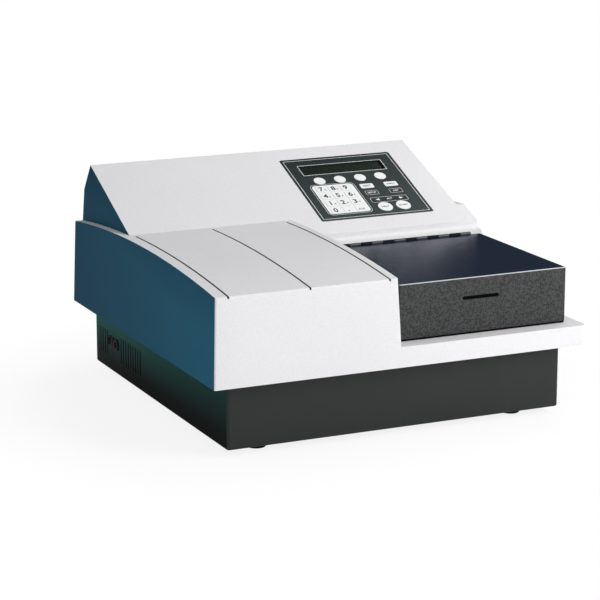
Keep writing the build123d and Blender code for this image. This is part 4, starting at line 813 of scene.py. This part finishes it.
def studio_floor():
    """White floor that keeps the soft shadow near the object and turns into plain white further out."""
    material = bpy.data.materials.new("white_floor")
    tree = bare(material)
    where = add(tree, "ShaderNodeTexCoord")
    far = add(tree, "ShaderNodeVectorMath", links={0: where.outputs["Object"]}, operation="LENGTH")
    fade = add(
        tree, "ShaderNodeMapRange", {"From Min": 0.24, "From Max": 0.42, "To Min": 0.86},
        {"Value": far.outputs["Value"]}, interpolation_type="SMOOTHSTEP",
    )
    ray = add(tree, "ShaderNodeLightPath")
    seen = add(
        tree, "ShaderNodeMath", operation="MULTIPLY",
        links={0: ray.outputs["Is Camera Ray"], 1: fade.outputs[0]},
    )
    matt = add(tree, "ShaderNodeBsdfDiffuse", {"Color": (0.96, 0.96, 0.96, 1.0)})
    glow = add(tree, "ShaderNodeEmission", {"Color": (1, 1, 1, 1), "Strength": 1.0})
    both = add(
        tree, "ShaderNodeMixShader", links={0: seen.outputs[0], 1: matt.outputs[0], 2: glow.outputs[0]}
    )
    add(tree, "ShaderNodeOutputMaterial", links={"Surface": both.outputs[0]})
    return material


class READER_OT_stage(bpy.types.Operator):
    """Camera, floor, lamps and world."""

    bl_idname = "reader.stage"
    bl_label = "Stage"

    def execute(self, context):
        scene = context.scene
        scene.view_settings.view_transform = "Standard"
        camera = bpy.data.objects.new("camera", bpy.data.cameras.new("camera"))
        scene.collection.objects.link(camera)
        camera.location = CAMERA_PLACE
        camera.rotation_euler = (math.radians(90 - CAMERA_DOWN), 0, math.radians(-CAMERA_TURN))
        camera.data.lens = LENS
        camera.data.sensor_width = SENSOR
        camera.data.clip_end = 50.0
        scene.camera = camera
        mesh = bpy.data.meshes.new("floor")
        corners = [(x * FLOOR_HALF, y * FLOOR_HALF, 0) for x, y in ((-1, -1), (1, -1), (1, 1), (-1, 1))]
        mesh.from_pydata(corners, [], [(0, 1, 2, 3)])
        floor = bpy.data.objects.new("floor", mesh)
        scene.collection.objects.link(floor)
        mesh.materials.append(studio_floor())
        for name, place, size, power in LAMPS:
            data = bpy.data.lights.new(name, "AREA")
            data.energy = power
            data.size = size
            lamp = bpy.data.objects.new(name, data)
            lamp.location = place
            direction = np.array(LAMP_TARGET) - np.array(place)
            lamp.rotation_euler = (
                math.atan2(math.hypot(direction[0], direction[1]), -direction[2]),
                0.0,
                math.atan2(direction[1], direction[0]) - math.pi / 2,
            )
            scene.collection.objects.link(lamp)
        world = bpy.data.worlds.new("studio")
        scene.world = world
        tree = bare(world)
        ray = add(tree, "ShaderNodeLightPath")
        both = add(
            tree, "ShaderNodeMath", operation="MAXIMUM",
            links={0: ray.outputs["Is Camera Ray"], 1: ray.outputs["Is Transmission Ray"]},
        )
        # What the glossy parts mirror is a dim room, so dark plastics stay dark
        level = add(
            tree, "ShaderNodeMapRange", {"To Min": 0.46, "To Max": 0.05},
            {"Value": ray.outputs["Is Glossy Ray"]},
        )
        soft = add(tree, "ShaderNodeBackground", {"Color": (1, 1, 1, 1)}, {"Strength": level.outputs[0]})
        white = add(tree, "ShaderNodeBackground", {"Color": (1, 1, 1, 1), "Strength": 1.0})
        mixed = add(
            tree, "ShaderNodeMixShader", links={0: both.outputs[0], 1: soft.outputs[0], 2: white.outputs[0]}
        )
        add(tree, "ShaderNodeOutputWorld", links={"Surface": mixed.outputs[0]})
        return {"FINISHED"}


class READER_PT_panel(bpy.types.Panel):
    """Lists the steps that build the reader's looks."""

    bl_label = "Microplate reader"
    bl_idname = "READER_PT_panel"
    bl_space_type = "VIEW_3D"
    bl_region_type = "UI"
    bl_category = "Reader"

    def draw(self, context):
        for step in STEPS:
            self.layout.operator(step.bl_idname)
        for group in (context.scene.reader_sizes, context.scene.reader_colours):
            for name in group.__annotations__:
                self.layout.prop(group, name)


STEPS = (
    READER_OT_stage,
    READER_OT_case,
    READER_OT_channels,
    READER_OT_lid,
    READER_OT_keypad,
    READER_OT_lines,
    READER_OT_legends,
    READER_OT_inside,
)
CLASSES = (ReaderColours, ReaderSizes) + STEPS + (READER_PT_panel,)


def register():
    for made in CLASSES:
        bpy.utils.register_class(made)
    bpy.types.Scene.reader_colours = bpy.props.PointerProperty(type=ReaderColours)
    bpy.types.Scene.reader_sizes = bpy.props.PointerProperty(type=ReaderSizes)


def unregister():
    del bpy.types.Scene.reader_sizes
    del bpy.types.Scene.reader_colours
    for made in reversed(CLASSES):
        bpy.utils.unregister_class(made)


def main():
    register()
    bpy.ops.reader.stage()
    bpy.ops.reader.case()
    bpy.ops.reader.channels()
    bpy.ops.reader.lid()
    bpy.ops.reader.keypad()
    bpy.ops.reader.lines()
    bpy.ops.reader.legends()
    bpy.ops.reader.inside()


if __name__ == "__main__":
    main()
